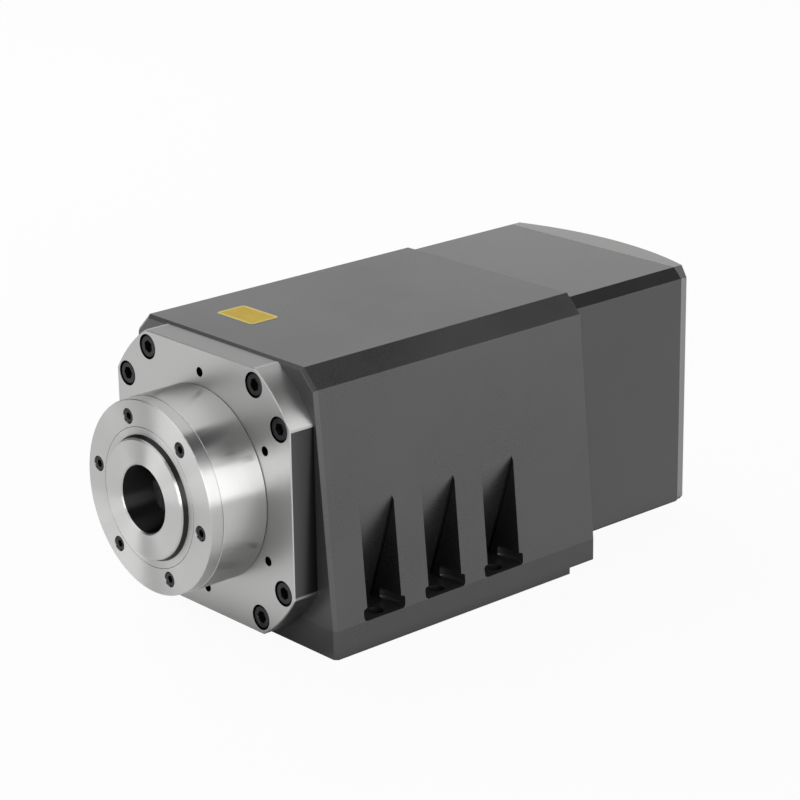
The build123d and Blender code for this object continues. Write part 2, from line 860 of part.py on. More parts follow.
def piston_seal_y():
    """Middle of the piston's seal groove."""
    return (piston_y + piston_end) / 2


def release_piston():
    """The piston and its rod, which stops just short of the drawbar."""
    piston = rod(cylinder_bore_d - 2 * guide_clear, piston_y, piston_end)
    piston += rod(piston_rod_d, drawbar_end + release_gap, piston_y)
    groove_w = piston_seal_d + 2 * o_ring_squeeze_gap
    y = piston_seal_y()
    floor_d = cylinder_bore_d - 2 * groove_w
    return piston - ring(floor_d, cylinder_bore_d, y - groove_w / 2, y + groove_w / 2)


def piston_seal():
    """The round seal in the piston's groove."""
    ring_d = cylinder_bore_d - piston_seal_d - 2 * o_ring_squeeze_gap
    return torus(ring_d, piston_seal_d, piston_seal_y())


def cone_r(y):
    """Radius of the drawbar's clamping cone, which narrows to the rear."""
    return cone_front_d / 2 - clamp_slope * (y - cone_face_y)


def drawbar():
    """The bar that pulls the jaws' cone back to clamp a tool."""
    front = cone_front_d / 2
    neck = cone_r(cone_end)
    bar = drawbar_d / 2
    return turned(
        (0, cone_y),
        (front - edge_break, cone_y),
        (front, cone_y + edge_break),
        (front, cone_face_y),
        (neck, cone_end),
        (neck, neck_end),
        (bar, neck_end),
        (bar, drawbar_end),
        (0, drawbar_end),
    )


def drawbar_nut():
    """The nut that the disc springs push back, which guides the drawbar's tail."""
    outer = spring_bore_d - 2 * guide_clear
    return ring(drawbar_d + 2 * seat_clear, outer, drawbar_nut_y, drawbar_nut_y + drawbar_nut_len)


def gripper_jaw():
    """One jaw segment of the tool clamp, centred on the +X direction."""
    inner_front = cone_r(cone_face_y) + clamp_play
    inner_back = cone_r(jaw_end) + clamp_play
    hook, waist, foot = jaw_hook_d / 2, jaw_waist_d / 2, jaw_foot_d / 2
    foot_y = jaw_end - jaw_foot_len
    profile = Polyline(
        (inner_front, cone_face_y),
        (hook - jaw_hook_edge, cone_face_y),
        (hook, cone_face_y + jaw_hook_edge),
        (hook, cone_face_y + jaw_hook_len),
        (waist, cone_face_y + jaw_hook_len + jaw_hook_slope),
        (waist, foot_y),
        (foot, foot_y),
        (foot, jaw_end),
        (inner_back, jaw_end),
        close=True,
    )
    jaw = revolve(make_face(profile), Axis.Y, revolution_arc=jaw_arc)
    return Rot(0, -jaw_arc / 2, 0) * jaw


def gripper_carrier():
    """The ring in the shaft that keeps the jaws' feet in line."""
    outer = chamber_d / 2 - seat_clear
    lip = jaw_waist_d / 2 + running_gap
    groove = jaw_foot_d / 2 + running_gap
    back = drawbar_d / 2 + carrier_back_clear
    foot_y = jaw_end - jaw_foot_len - running_gap
    groove_end = jaw_end + running_gap
    return turned(
        (lip, foot_y - carrier_lip_t),
        (outer, foot_y - carrier_lip_t),
        (outer, chamber_end),
        (back, chamber_end),
        (back, groove_end),
        (groove, groove_end),
        (groove, foot_y),
        (lip, foot_y),
    )


def disc_springs():
    """The stack of coned washers, laid in pairs that face each other."""
    outer, inner = spring_outer_d / 2, spring_inner_d / 2
    room = drawbar_nut_y - guide_end
    pair_len = room / spring_pairs
    cone = pair_len / 2 - spring_t - spring_play
    springs = []
    for k in range(spring_pairs):
        start = guide_end + pair_len * k + spring_play / 2
        middle = start + pair_len / 2
        springs.append(turned(
            (inner, start),
            (outer, start + cone),
            (outer, start + cone + spring_t),
            (inner, start + spring_t),
        ))
        springs.append(turned(
            (inner, middle + cone),
            (outer, middle),
            (outer, middle + spring_t),
            (inner, middle + cone + spring_t),
        ))
    return group(springs)


def box_lug_places():
    """The x and z places of the screws that hold the rear box to the housing."""
    return [(side * lug_x, z) for side in (-1, 1) for z in (lug_bottom_z, lug_top_z)]


def cap_screw_places():
    """The x and z places of the rear cap's screws."""
    return [(side * lug_x, z) for side in (-1, 1) for z in (-cap_lug_z, cap_lug_z)]


def rear_box():
    """The thin-walled box behind the motor housing, with lugs for its screws."""
    outline = box_outline(box_half_width, box_top, box_bottom, box_chamfer, box_bottom_chamfer)
    inner_chamfer = box_chamfer - box_wall * (2 - sqrt(2))
    inside = box_outline(box_half_width - box_wall, box_top - box_wall, box_bottom + box_wall,
                         inner_chamfer, box_bottom_chamfer)
    outer = prism(outline, housing_rear, cap_y)
    room = prism(inside, housing_rear, cap_y)
    box = outer - room
    for x, z in box_lug_places():
        lug = rod(box_lug_d, housing_rear, housing_rear + box_lug_t, x, z) & outer
        box += lug
        box -= screw_hole(box_thread, housing_rear, housing_rear + box_lug_t, x, z)
    for x, z in cap_screw_places():
        box += rod(box_lug_d, cap_y - cap_lug_t, cap_y, x, z) & outer
        box -= thread_hole(cap_thread, cap_y - cap_hole_depth, cap_y, x, z)
    return box


def rear_box_screws():
    """The screws inside the rear box that hold it to the motor housing."""
    head_y = housing_rear + box_lug_t + box_thread
    length = box_lug_t + box_hole_depth - screw_end_gap
    return group(cap_screw(box_thread, length, head_y, x, z, -1) for x, z in box_lug_places())


def crown_y(x):
    """Where the crowned back of the rear cap lies at a distance x from the middle."""
    crown_r = (box_half_width ** 2 + cap_crown ** 2) / (2 * cap_crown)
    return cap_y + cap_edge_t + cap_crown - crown_r + sqrt(crown_r ** 2 - x ** 2)


def cap_head_y():
    """Head height of the cap screws, below the crowned back."""
    return crown_y(lug_x + head_d(cap_thread) / 2) - hole_clear


def rear_cap():
    """The crowned plate that closes the rear box."""
    outline = box_outline(box_half_width, box_top, box_bottom, box_chamfer, cap_bottom_chamfer)
    cap = prism(outline, cap_y, cap_y + cap_edge_t + cap_crown)
    crown_r = (box_half_width ** 2 + cap_crown ** 2) / (2 * cap_crown)
    cap &= Pos(0, crown_y(0) - crown_r, 0) * Cylinder(crown_r, 2 * (box_top - box_bottom))
    cap = chamfer(cap.faces().sort_by(Axis.Y)[-1].edges(), edge_break)
    hollow_w = 2 * (box_half_width - cap_hollow_margin)
    hollow_h = box_top - box_bottom - 2 * cap_hollow_margin
    middle_z = (box_top + box_bottom) / 2
    cap -= block(hollow_w, cap_y, cap_y + cap_hollow_depth, hollow_h, 0, middle_z)
    end_y = crown_y(0) + cutter_over
    for x, z in cap_screw_places():
        cap -= screw_hole(cap_thread, cap_y, end_y, x, z)
        cap -= rod(head_d(cap_thread) + 2 * hole_clear, cap_head_y() - cap_thread, end_y, x, z)
    for x, z, back_d, flange_d in port_list():
        cap -= rod(back_d + 2 * hole_clear, cap_y, end_y, x, z)
        cap -= rod(flange_d + port_recess_clear, seat_y, end_y, x, z)
    return cap


def rear_cap_screws():
    """The screws of the rear cap."""
    length = cap_head_y() - cap_thread - cap_y + cap_hole_depth - screw_end_gap
    places = cap_screw_places()
    return group(cap_screw(cap_thread, length, cap_head_y(), x, z, -1) for x, z in places)


def coolant_places():
    """The x and z places of the coolant inlet and outlet."""
    return [(-port_xz, -port_xz), (port_xz, -port_xz)]


def air_places():
    """The x and z places of the clamp's two air ports."""
    return [(0, air_port_z), (0, return_port_z)]


def lead_places():
    """The x and z places of the power leads, side by side behind their connector."""
    step = lead_pitch * cos(radians(diagonal))
    offsets = [k - (lead_count - 1) / 2 for k in range(lead_count)]
    return [(-port_xz + step * k, port_xz + step * k) for k in offsets]


def fitting_d(tube_d):
    """Outside diameter of a fitting's barrel."""
    return tube_d + 2 * fitting_wall


def port_list():
    """Every hole in the rear cap: x, z, the size behind the seat and the size on it."""
    power = (-port_xz, port_xz, power_flange_d - 2 * connector_flange_t, power_flange_d)
    signal = (port_xz, port_xz, signal_flange_d - 2 * connector_flange_t, signal_flange_d)
    ports = [power, signal]
    for x, z in coolant_places():
        ports.append((x, z, fitting_d(coolant_tube_d) - fitting_wall, hex_corner_d(coolant_tube_d)))
    for x, z in air_places():
        ports.append((x, z, fitting_d(air_tube_d) - fitting_wall, hex_corner_d(air_tube_d)))
    return ports


def hex_corner_d(tube_d):
    """Size across the corners of a fitting's hexagon."""
    return (fitting_d(tube_d) + hex_extra) / cos(radians(30))


def connector(x, z, barrel_d, flange_d, length, cavity_d, pin_d, pin_places, wire_holes):
    """A round panel connector with its pins set back in the barrel."""
    back_d = flange_d - 2 * connector_flange_t
    flange_end = seat_y + connector_flange_t
    end = flange_end + length
    shell = rod(back_d, seat_y - connector_back_len, seat_y, x, z)
    shell += rod(flange_d, seat_y, flange_end, x, z)
    shell += rod(barrel_d, flange_end, end, x, z)
    rim = shell.edges().filter_by(GeomType.CIRCLE).sort_by(Axis.Y)[-1]
    shell = chamfer(rim, edge_break)
    shell -= rod(cavity_d, end - cavity_depth, end, x, z)
    for px, pz in pin_places:
        shell += rod(pin_d, end - cavity_depth - pin_root, end - pin_setback, x + px, z + pz)
    for wire_d, wx, wz in wire_holes:
        start = seat_y - connector_back_len
        shell -= rod(wire_d + 2 * seat_clear, start, start + pipe_overlap, wx, wz)
    return shell


def power_connector():
    """The round connector for the motor's power."""
    wires = [(lead_d, x, z) for x, z in lead_places()]
    pins = around(power_pin_pcd, power_pin_count, power_pin_phase)
    return connector(-port_xz, port_xz, power_barrel_d, power_flange_d, power_len,
                     power_cavity_d, power_pin_d, pins, wires)


def signal_connector():
    """The round connector for the encoder's signals."""
    wires = [(signal_lead_d, port_xz, port_xz)]
    pins = around(signal_pin_pcd, signal_pin_count, signal_pin_phase)
    return connector(port_xz, port_xz, signal_barrel_d, signal_flange_d, signal_len,
                     signal_cavity_d, signal_pin_d, pins, wires)


def power_leads():
    """Three insulated leads from the windings to the power connector."""
    y_start = core_end + end_turn_len
    y_end = seat_y - connector_back_len + pipe_overlap
    return group(rod(lead_d, y_start, y_end, x, z) for x, z in lead_places())


def signal_lead():
    """The encoder's lead to the signal connector."""
    y_end = seat_y - connector_back_len + pipe_overlap
    return rod(signal_lead_d, plate_end + sensor_len, y_end, port_xz, port_xz)


def push_in_fitting(tube_d, pipe_d, pipe_wall, x, z):
    """A push-in fitting through the rear cap: a pipe inside, a hose outside."""
    barrel_d = fitting_d(tube_d)
    hex_end = seat_y + fitting_hex_len
    end = hex_end + fitting_barrel_len
    back_start = seat_y - fitting_back_len
    fitting = rod(barrel_d - fitting_wall, back_start, seat_y, x, z)
    fitting += hexagon(barrel_d + hex_extra, seat_y, hex_end, x, z)
    fitting += rod(barrel_d, hex_end, end, x, z)
    rim = fitting.edges().filter_by(GeomType.CIRCLE).sort_by(Axis.Y)[-1]
    fitting = chamfer(rim, edge_break)
    fitting -= rod(tube_d, hex_end - fitting_wall, end, x, z)
    fitting -= rod(pipe_d - 2 * pipe_wall, back_start, hex_end, x, z)
    return fitting - rod(pipe_d + 2 * seat_clear, back_start, back_start + pipe_overlap, x, z)


def coolant_fittings():
    """The coolant inlet and outlet."""
    return group(push_in_fitting(coolant_tube_d, coolant_pipe_d, coolant_pipe_wall, x, z)
                 for x, z in coolant_places())


def air_fittings():
    """The two air ports of the release cylinder."""
    return group(push_in_fitting(air_tube_d, air_pipe_d, air_pipe_wall, x, z)
                 for x, z in air_places())


def coolant_pipes():
    """Pipes that carry the coolant from the fittings to the rear bearing shield."""
    y_end = seat_y - fitting_back_len + pipe_overlap
    bore_d = coolant_pipe_d - 2 * coolant_pipe_wall
    return group(pipe(coolant_pipe_d, bore_d, plate_end - pipe_seat_depth, y_end, x, z)
                 for x, z in coolant_places())


def air_pipes():
    """Pipes between the air fittings and the cylinder cover."""
    y_end = seat_y - fitting_back_len + pipe_overlap
    bore_d = air_pipe_d - 2 * air_pipe_wall
    return group(pipe(air_pipe_d, bore_d, cylinder_cover_end - pipe_overlap, y_end, x, z)
                 for x, z in air_places())


front_size = (front_bore_d, front_outer_d, front_width, front_ball_count)
rear_size = (rear_bore_d, rear_outer_d, rear_width, rear_ball_count)
outer_1, inner_1, cage_1, balls_1 = bearing(*front_size, front_1_y)
outer_2, inner_2, cage_2, balls_2 = bearing(*front_size, front_2_y)
rear_outer, rear_inner, rear_cage, rear_balls = bearing(*rear_size, rear_y)
spacer_in, spacer_out = lands(front_bore_d, front_outer_d)

nodes = {
    "motor_housing": motor_housing(),
    "front_bearing_housing": front_bearing_housing(),
    "flange_screws": flange_screws(),
    "nose_cover_ring": nose_cover_ring(),
    "cover_screws": cover_screws(),
    "labyrinth_ring": labyrinth_ring(),
    "spindle_shaft": spindle_shaft(),
    "front_bearing_1_outer": outer_1,
    "front_bearing_1_inner": inner_1,
    "front_bearing_2_outer": outer_2,
    "front_bearing_2_inner": inner_2,
    "front_bearing_cages": group([cage_1, cage_2]),
    "front_bearing_balls": group(balls_1 + balls_2),
    "front_outer_spacer": ring(spacer_out, front_outer_d - 2 * seat_clear, front_1_end, front_2_y),
    "front_inner_spacer": ring(front_bore_d + 2 * seat_clear, spacer_in, front_1_end, front_2_y),
    "front_lock_nut": lock_nut(front_bore_d, front_nut_d, front_2_end, front_nut_end),
    "rotor_core": rotor_core(),
    "rotor_end_rings": rotor_end_rings(),
    "stator_core": stator_core(),
    "stator_windings": stator_windings(),
    "cooling_jacket": cooling_jacket(),
    "jacket_o_rings": jacket_o_rings(),
    "rear_bearing_shield": rear_bearing_shield(),
    "shield_screws": shield_screws(),
    "rear_bearing_outer": rear_outer,
    "rear_bearing_inner": rear_inner,
    "rear_bearing_cage": rear_cage,
    "rear_bearing_balls": group(rear_balls),
    "rear_circlip": rear_circlip(),
    "rear_lock_nut": lock_nut(rear_bore_d, rear_nut_d, rear_end, rear_nut_end),
    "encoder_wheel": encoder_wheel(),
    "encoder_sensor": encoder_sensor(),
    "gripper_carrier": gripper_carrier(),
    "drawbar": drawbar(),
    "drawbar_nut": drawbar_nut(),
    "disc_springs": disc_springs(),
    "release_cylinder": release_cylinder(),
    "cylinder_cover": cylinder_cover(),
    "cylinder_screws": cylinder_screws(),
    "release_piston": release_piston(),
    "piston_seal": piston_seal(),
    "rear_box": rear_box(),
    "rear_box_screws": rear_box_screws(),
    "rear_cap": rear_cap(),
    "rear_cap_screws": rear_cap_screws(),
    "power_connector": power_connector(),
    "signal_connector": signal_connector(),
    "power_leads": power_leads(),
    "signal_lead": signal_lead(),
    "coolant_fittings": coolant_fittings(),
    "coolant_pipes": coolant_pipes(),
    "air_fittings": air_fittings(),
    "air_pipes": air_pipes(),
}
for k in range(jaw_count):
    nodes[f"gripper_jaw_{k + 1}"] = Rot(0, -360 * k / jaw_count, 0) * gripper_jaw()

os.makedirs("parts", exist_ok=True)
for name, shape in nodes.items():
    export_step(shape, f"parts/{name}.step")
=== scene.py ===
# Motor spindle: the looks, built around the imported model
import json
import math

import bmesh
import bpy
from mathutils import Matrix, Vector


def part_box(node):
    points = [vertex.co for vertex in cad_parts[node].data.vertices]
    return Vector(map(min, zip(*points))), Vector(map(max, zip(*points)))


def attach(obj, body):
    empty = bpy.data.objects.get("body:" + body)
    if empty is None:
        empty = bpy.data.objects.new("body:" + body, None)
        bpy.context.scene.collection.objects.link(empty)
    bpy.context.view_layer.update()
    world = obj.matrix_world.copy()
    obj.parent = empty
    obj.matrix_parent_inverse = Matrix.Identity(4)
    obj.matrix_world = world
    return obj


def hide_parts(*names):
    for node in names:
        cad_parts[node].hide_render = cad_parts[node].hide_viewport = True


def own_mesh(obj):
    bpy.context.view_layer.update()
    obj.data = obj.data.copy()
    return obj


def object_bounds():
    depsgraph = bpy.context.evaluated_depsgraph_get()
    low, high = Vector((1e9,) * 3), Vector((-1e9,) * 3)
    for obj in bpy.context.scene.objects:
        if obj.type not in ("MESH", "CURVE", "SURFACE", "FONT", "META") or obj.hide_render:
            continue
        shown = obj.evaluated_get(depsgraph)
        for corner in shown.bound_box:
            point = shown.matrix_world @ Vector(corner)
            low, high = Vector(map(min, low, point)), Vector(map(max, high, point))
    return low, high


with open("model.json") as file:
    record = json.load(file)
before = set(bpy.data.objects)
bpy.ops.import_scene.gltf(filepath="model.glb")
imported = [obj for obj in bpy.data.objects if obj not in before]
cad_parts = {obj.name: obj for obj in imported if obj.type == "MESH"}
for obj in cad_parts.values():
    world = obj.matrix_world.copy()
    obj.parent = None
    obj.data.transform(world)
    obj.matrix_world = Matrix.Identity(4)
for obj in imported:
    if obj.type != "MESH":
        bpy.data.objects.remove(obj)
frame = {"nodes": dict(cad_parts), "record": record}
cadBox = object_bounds()


# Node helpers

def addNode(tree, kind, settings=None, **inputs):
    node = tree.nodes.new(kind)
    for key, value in (settings or {}).items():
        setattr(node, key, value)
    for key, value in inputs.items():
        socket = node.inputs[key.replace("_", " ")]
        if isinstance(value, bpy.types.NodeSocket):
            tree.links.new(value, socket)
        else:
            socket.default_value = value
    return node


def calc(tree, operation, first, second=0.0, third=0.0):
    node = tree.nodes.new("ShaderNodeMath")
    node.operation = operation
    for socket, value in zip(node.inputs, (first, second, third)):
        if isinstance(value, bpy.types.NodeSocket):
            tree.links.new(value, socket)
        else:
            socket.default_value = value
    return node.outputs[0]


def remap(tree, value, low, high, newLow=0.0, newHigh=1.0):
    node = addNode(tree, "ShaderNodeMapRange", None, Value=value)
    for key, number in zip(("From Min", "From Max", "To Min", "To Max"), (low, high, newLow, newHigh)):
        node.inputs[key].default_value = number
    return node.outputs["Result"]


def spread(tree, value, newLow=0.0, newHigh=1.0):
    # noise stays mostly between 0.3 and 0.7, so that part is stretched over the new range
    return remap(tree, value, 0.3, 0.7, newLow, newHigh)


def mixColour(tree, factor, first, second, blend="MIX"):
    node = tree.nodes.new("ShaderNodeMix")
    node.data_type = "RGBA"
    node.blend_type = blend
    for index, value in ((0, factor), (6, first), (7, second)):
        if isinstance(value, bpy.types.NodeSocket):
            tree.links.new(value, node.inputs[index])
        else:
            node.inputs[index].default_value = value
    return node.outputs[2]


def mixValue(tree, factor, first, second):
    node = tree.nodes.new("ShaderNodeMix")
    for index, value in ((0, factor), (2, first), (3, second)):
        if isinstance(value, bpy.types.NodeSocket):
            tree.links.new(value, node.inputs[index])
        else:
            node.inputs[index].default_value = value
    return node.outputs[0]


def noise(tree, vector, scale, detail=2.0, roughness=0.5):
    return addNode(tree, "ShaderNodeTexNoise", None, Vector=vector, Scale=scale, Detail=detail,
                   Roughness=roughness).outputs[0]


def lineNoise(tree, value, scale, detail=2.0):
    return addNode(tree, "ShaderNodeTexNoise", {"noise_dimensions": "1D"}, W=value, Scale=scale,
                   Detail=detail).outputs[0]


def objectPoint(tree):
    return addNode(tree, "ShaderNodeTexCoord").outputs["Object"]


def stretched(tree, point, scale):
    return addNode(tree, "ShaderNodeMapping", None, Vector=point, Scale=scale).outputs["Vector"]


def splitPoint(tree, point):
    return addNode(tree, "ShaderNodeSeparateXYZ", None, Vector=point).outputs


def hypot(tree, first, second):
    square = calc(tree, "ADD", calc(tree, "MULTIPLY", first, first), calc(tree, "MULTIPLY", second, second))
    return calc(tree, "SQRT", square)


def apart(tree, first, second):
    return calc(tree, "ABSOLUTE", calc(tree, "SUBTRACT", first, second))


def wave(tree, value, length):
    return calc(tree, "SINE", calc(tree, "MULTIPLY", value, 2 * math.pi / length))


def facingY(tree):
    # how far the surface looks along Y, from -1 to 1
    return splitPoint(tree, addNode(tree, "ShaderNodeNewGeometry").outputs["True Normal"])[1]


def shade(colour, factor):
    return tuple(min(1.0, channel * factor) for channel in colour[:3]) + (1.0,)


def startMaterial(name):
    material = bpy.data.materials.new(name)
    material.use_nodes = True
    tree = material.node_tree
    tree.nodes.clear()
    output = tree.nodes.new("ShaderNodeOutputMaterial")
    shader = tree.nodes.new("ShaderNodeBsdfPrincipled")
    tree.links.new(shader.outputs["BSDF"], output.inputs["Surface"])
    return material, tree, shader


def roundedNormal(tree, height, strength, depth, edgeRadius):
    # soft edges from the Bevel node, with the fine relief on top
    bevel = addNode(tree, "ShaderNodeBevel", {"samples": 4}, Radius=edgeRadius).outputs["Normal"]
    return addNode(tree, "ShaderNodeBump", None, Strength=strength, Distance=depth, Height=height,
                   Normal=bevel).outputs["Normal"]


def edgeMask(tree, radius, high=0.25):
    # 1 where the surface turns sharply, 0 on flat ground
    bevel = addNode(tree, "ShaderNodeBevel", {"samples": 4}, Radius=radius).outputs["Normal"]
    plain = addNode(tree, "ShaderNodeNewGeometry").outputs["True Normal"]
    dot = addNode(tree, "ShaderNodeVectorMath", {"operation": "DOT_PRODUCT"})
    tree.links.new(bevel, dot.inputs[0])
    tree.links.new(plain, dot.inputs[1])
    return remap(tree, calc(tree, "SUBTRACT", 1.0, dot.outputs["Value"]), 0.0, high)


# Finishes. Colours are linear, scales are per metre, distances are in metres.

def paintedFinish(name, spec):
    material, tree, shader = startMaterial(name)
    point = objectPoint(tree)
    cloud = noise(tree, point, spec["cloudScale"], 4.0, 0.6)
    grain = noise(tree, point, spec["grainScale"], 2.0)
    speck = noise(tree, point, spec["grainScale"] * 0.35, 3.0, 0.7)
    base = spec["colour"]
    tone = mixColour(tree, spread(tree, cloud), shade(base, 1 - spec["cloud"]),
                     shade(base, 1 + spec["cloud"]))
    tone = mixColour(tree, remap(tree, grain, 0.35, 0.7, 0.0, spec["grainShade"]), tone, shade(base, 0.55))
    # the edges are lighter, partly as rubbed paint and partly as a painted highlight
    rubbedAndSheen = calc(tree, "MULTIPLY", edgeMask(tree, 0.0008), remap(tree, speck, 0.42, 0.6))
    tone = mixColour(tree, calc(tree, "MULTIPLY", rubbedAndSheen, spec["wear"]), tone, shade(base, 2.4))
    if "recess" in spec:
        # painted shade in the foot pockets and on the base band, which also takes the gloss away there
        paintedShade = recessShade(tree, point, spec["recess"])
        tone = mixColour(tree, paintedShade, tone, shade(base, spec["recess"]["shadeTone"]))
        gloss = mixValue(tree, paintedShade, shader.inputs["Specular IOR Level"].default_value, 0.0)
        tree.links.new(gloss, shader.inputs["Specular IOR Level"])
    tree.links.new(tone, shader.inputs["Base Color"])
    rough = spread(tree, cloud, spec["roughness"] - 0.04, spec["roughness"] + 0.04)
    rough = calc(tree, "ADD", rough, spread(tree, grain, -0.03, 0.05))
    tree.links.new(rough, shader.inputs["Roughness"])
    height = calc(tree, "ADD", grain, calc(tree, "MULTIPLY", speck, 0.6))
    normal = roundedNormal(tree, height, spec["relief"], 0.00006, 0.0005)
    tree.links.new(normal, shader.inputs["Normal"])
    shader.inputs["Metallic"].default_value = spec["metallic"]
    return material


def recessShade(tree, point, spec):
    # painted shade on the paint: most in the foot pockets' inner corners, a little on the base band
    x, y, z = splitPoint(tree, point)
    rise = calc(tree, "SUBTRACT", z, spec["base"])
    side = calc(tree, "SUBTRACT", spec["halfWidth"], calc(tree, "MULTIPLY", rise, spec["lean"]))
    depth = calc(tree, "SUBTRACT", side, calc(tree, "ABSOLUTE", x))
    paintedShade = remap(tree, depth, 0.0, spec["deep"], 0.0, spec["dark"])
    facing = facingY(tree)
    cornerFrom, cornerTo = spec["cornerFacing"]
    corner = remap(tree, facing, cornerFrom, cornerTo, 0.0, spec["cornerDark"])
    onWall = calc(tree, "LESS_THAN", facing, spec["wallFacing"])
    paintedShade = calc(tree, "MAXIMUM", paintedShade, mixValue(tree, onWall, corner, spec["wallDark"]))
    fromMiddle = apart(tree, y, spec["middle"])
    fromPocket = calc(tree, "MINIMUM", fromMiddle, apart(tree, fromMiddle, spec["step"]))
    inside = calc(tree, "LESS_THAN", fromPocket, spec["halfLength"])
    inside = calc(tree, "MULTIPLY", inside, calc(tree, "GREATER_THAN", depth, spec["skin"]))
    inside = calc(tree, "MULTIPLY", inside, calc(tree, "LESS_THAN", z, spec["top"]))
    inside = calc(tree, "MULTIPLY", inside, calc(tree, "GREATER_THAN", rise, -spec["skin"] / 2))
    band = calc(tree, "MULTIPLY", calc(tree, "LESS_THAN", rise, 0.0), spec["band"])
    return calc(tree, "MAXIMUM", calc(tree, "MULTIPLY", inside, paintedShade), band)


def toolMarks(tree, point, lines):
    # "turned" about Y, "ground" along X, or "milled" with no direction
    if lines == "turned":
        # the line runs outwards on faces that look along Y, and along Y on turned sides
        x, y, z = splitPoint(tree, point)
        onFace = remap(tree, calc(tree, "ABSOLUTE", facingY(tree)), 0.6, 0.8)
        line = mixValue(tree, onFace, y, hypot(tree, x, z))
        return calc(tree, "ADD", calc(tree, "MULTIPLY", lineNoise(tree, line, 7200.0, 3.0), 0.7),
                    calc(tree, "MULTIPLY", lineNoise(tree, line, 1300.0), 0.3))
    if lines == "ground":
        return noise(tree, stretched(tree, point, (30.0, 2600.0, 2600.0)), 1.0, 3.0)
    return noise(tree, point, 1500.0, 4.0, 0.65)


def metalFinish(name, spec):
    material, tree, shader = startMaterial(name)
    point = objectPoint(tree)
    x, y, z = splitPoint(tree, point)
    radius = hypot(tree, x, z)
    cloud = noise(tree, point, 22.0, 4.0, 0.6)
    fine = noise(tree, point, 900.0, 2.0)
    marks = toolMarks(tree, point, spec["lines"])
    flange = spec.get("flange")
    if flange:  # the flange is ground flat, the rest of the piece is turned
        onFlange = calc(tree, "GREATER_THAN", y, flange["from"])
        marks = mixValue(tree, onFlange, marks, toolMarks(tree, point, "ground"))
    base = spec["colour"]
    tone = mixColour(tree, spread(tree, marks), shade(base, 1 - spec["contrast"]),
                     shade(base, 1 + spec["contrast"]))
    tone = mixColour(tree, remap(tree, cloud, 0.35, 0.75, 0.0, 0.2), tone, shade(base, 0.9))
    rough = remap(tree, marks, 0.25, 0.75, *spec["roughness"])
    rough = calc(tree, "ADD", rough, remap(tree, cloud, 0.3, 0.75, -0.02, 0.03))
    side = calc(tree, "LESS_THAN", calc(tree, "ABSOLUTE", facingY(tree)), 0.5)
    if flange:  # its milled sides get painted shade, darker towards the back and with painted light on top, and its lower corners half of that shade
        lower = calc(tree, "MULTIPLY", calc(tree, "LESS_THAN", z, 0.0), flange["lowCornerShade"])
        shadedRim = calc(tree, "MAXIMUM", calc(tree, "LESS_THAN", radius, flange["turnedFrom"]), lower)
        shadedRim = calc(tree, "MULTIPLY", shadedRim, calc(tree, "MULTIPLY", side, onFlange))
        rimShadeTone = mixColour(tree, remap(tree, y, *flange["rimFade"]), flange["rim"],
                            shade(flange["rim"], flange["rimBackShade"]))
        onTop = calc(tree, "GREATER_THAN", z, flange["topFrom"])
        rimShadeTone = mixColour(tree, onTop, rimShadeTone, flange["rimTopLight"])
        tone = mixColour(tree, onFlange, tone, flange["colour"])
        tone = mixColour(tree, shadedRim, tone, rimShadeTone)
        rough = mixValue(tree, side, rough, flange["noseRough"])
        rough = mixValue(tree, onFlange, rough, flange["roughness"])
        rough = mixValue(tree, shadedRim, rough, flange["rimRough"])
    if "bore" in spec:  # the bore and the hub's low wall are darkened with painted shade
        wall = calc(tree, "MULTIPLY", side, calc(tree, "GREATER_THAN", radius, spec["wall"]))
        shadedBore = calc(tree, "MAXIMUM", calc(tree, "LESS_THAN", radius, spec["bore"]), wall)
        tone = mixColour(tree, shadedBore, tone, shade(base, spec["oilTone"]))
        rough = mixValue(tree, shadedBore, rough, spec["oilRough"])
    tree.links.new(tone, shader.inputs["Base Color"])
    tree.links.new(rough, shader.inputs["Roughness"])
    height = calc(tree, "ADD", marks, calc(tree, "MULTIPLY", fine, 0.15))
    normal = roundedNormal(tree, height, spec["relief"], 0.00004, 0.0003)
    tree.links.new(normal, shader.inputs["Normal"])
    shader.inputs["Metallic"].default_value = 1.0
    if "streak" in spec:  # the gloss is drawn out by marks that run round Y
        shader.inputs["Anisotropic"].default_value = spec["streak"]
        if flange:
            streak = mixValue(tree, onFlange, spec["streak"], flange["streak"])
            tree.links.new(streak, shader.inputs["Anisotropic"])
        shader.inputs["Anisotropic Rotation"].default_value = 0.25
        tangent = addNode(tree, "ShaderNodeTangent", {"direction_type": "RADIAL", "axis": "Y"})
        tree.links.new(tangent.outputs["Tangent"], shader.inputs["Tangent"])
    return material


def oxideFinish(name, spec):
    # blackened steel, rubbed brighter on its edges
    material, tree, shader = startMaterial(name)
    point = objectPoint(tree)
    patch = noise(tree, point, 260.0, 4.0, 0.6)
    fine = noise(tree, point, 2600.0, 2.0)
    base = spec["colour"]
    tone = mixColour(tree, remap(tree, patch, 0.35, 0.7), shade(base, 0.7), shade(base, 1.5))
    tone = mixColour(tree, calc(tree, "MULTIPLY", edgeMask(tree, 0.00035), spec["wear"]), tone,
                     (0.32, 0.31, 0.30, 1.0))
    tree.links.new(tone, shader.inputs["Base Color"])
    rough = spread(tree, patch, spec["roughness"] - 0.06, spec["roughness"] + 0.1)
    tree.links.new(rough, shader.inputs["Roughness"])
    tree.links.new(roundedNormal(tree, fine, 0.2, 0.00003, 0.00015), shader.inputs["Normal"])
    shader.inputs["Metallic"].default_value = 0.7
    return material


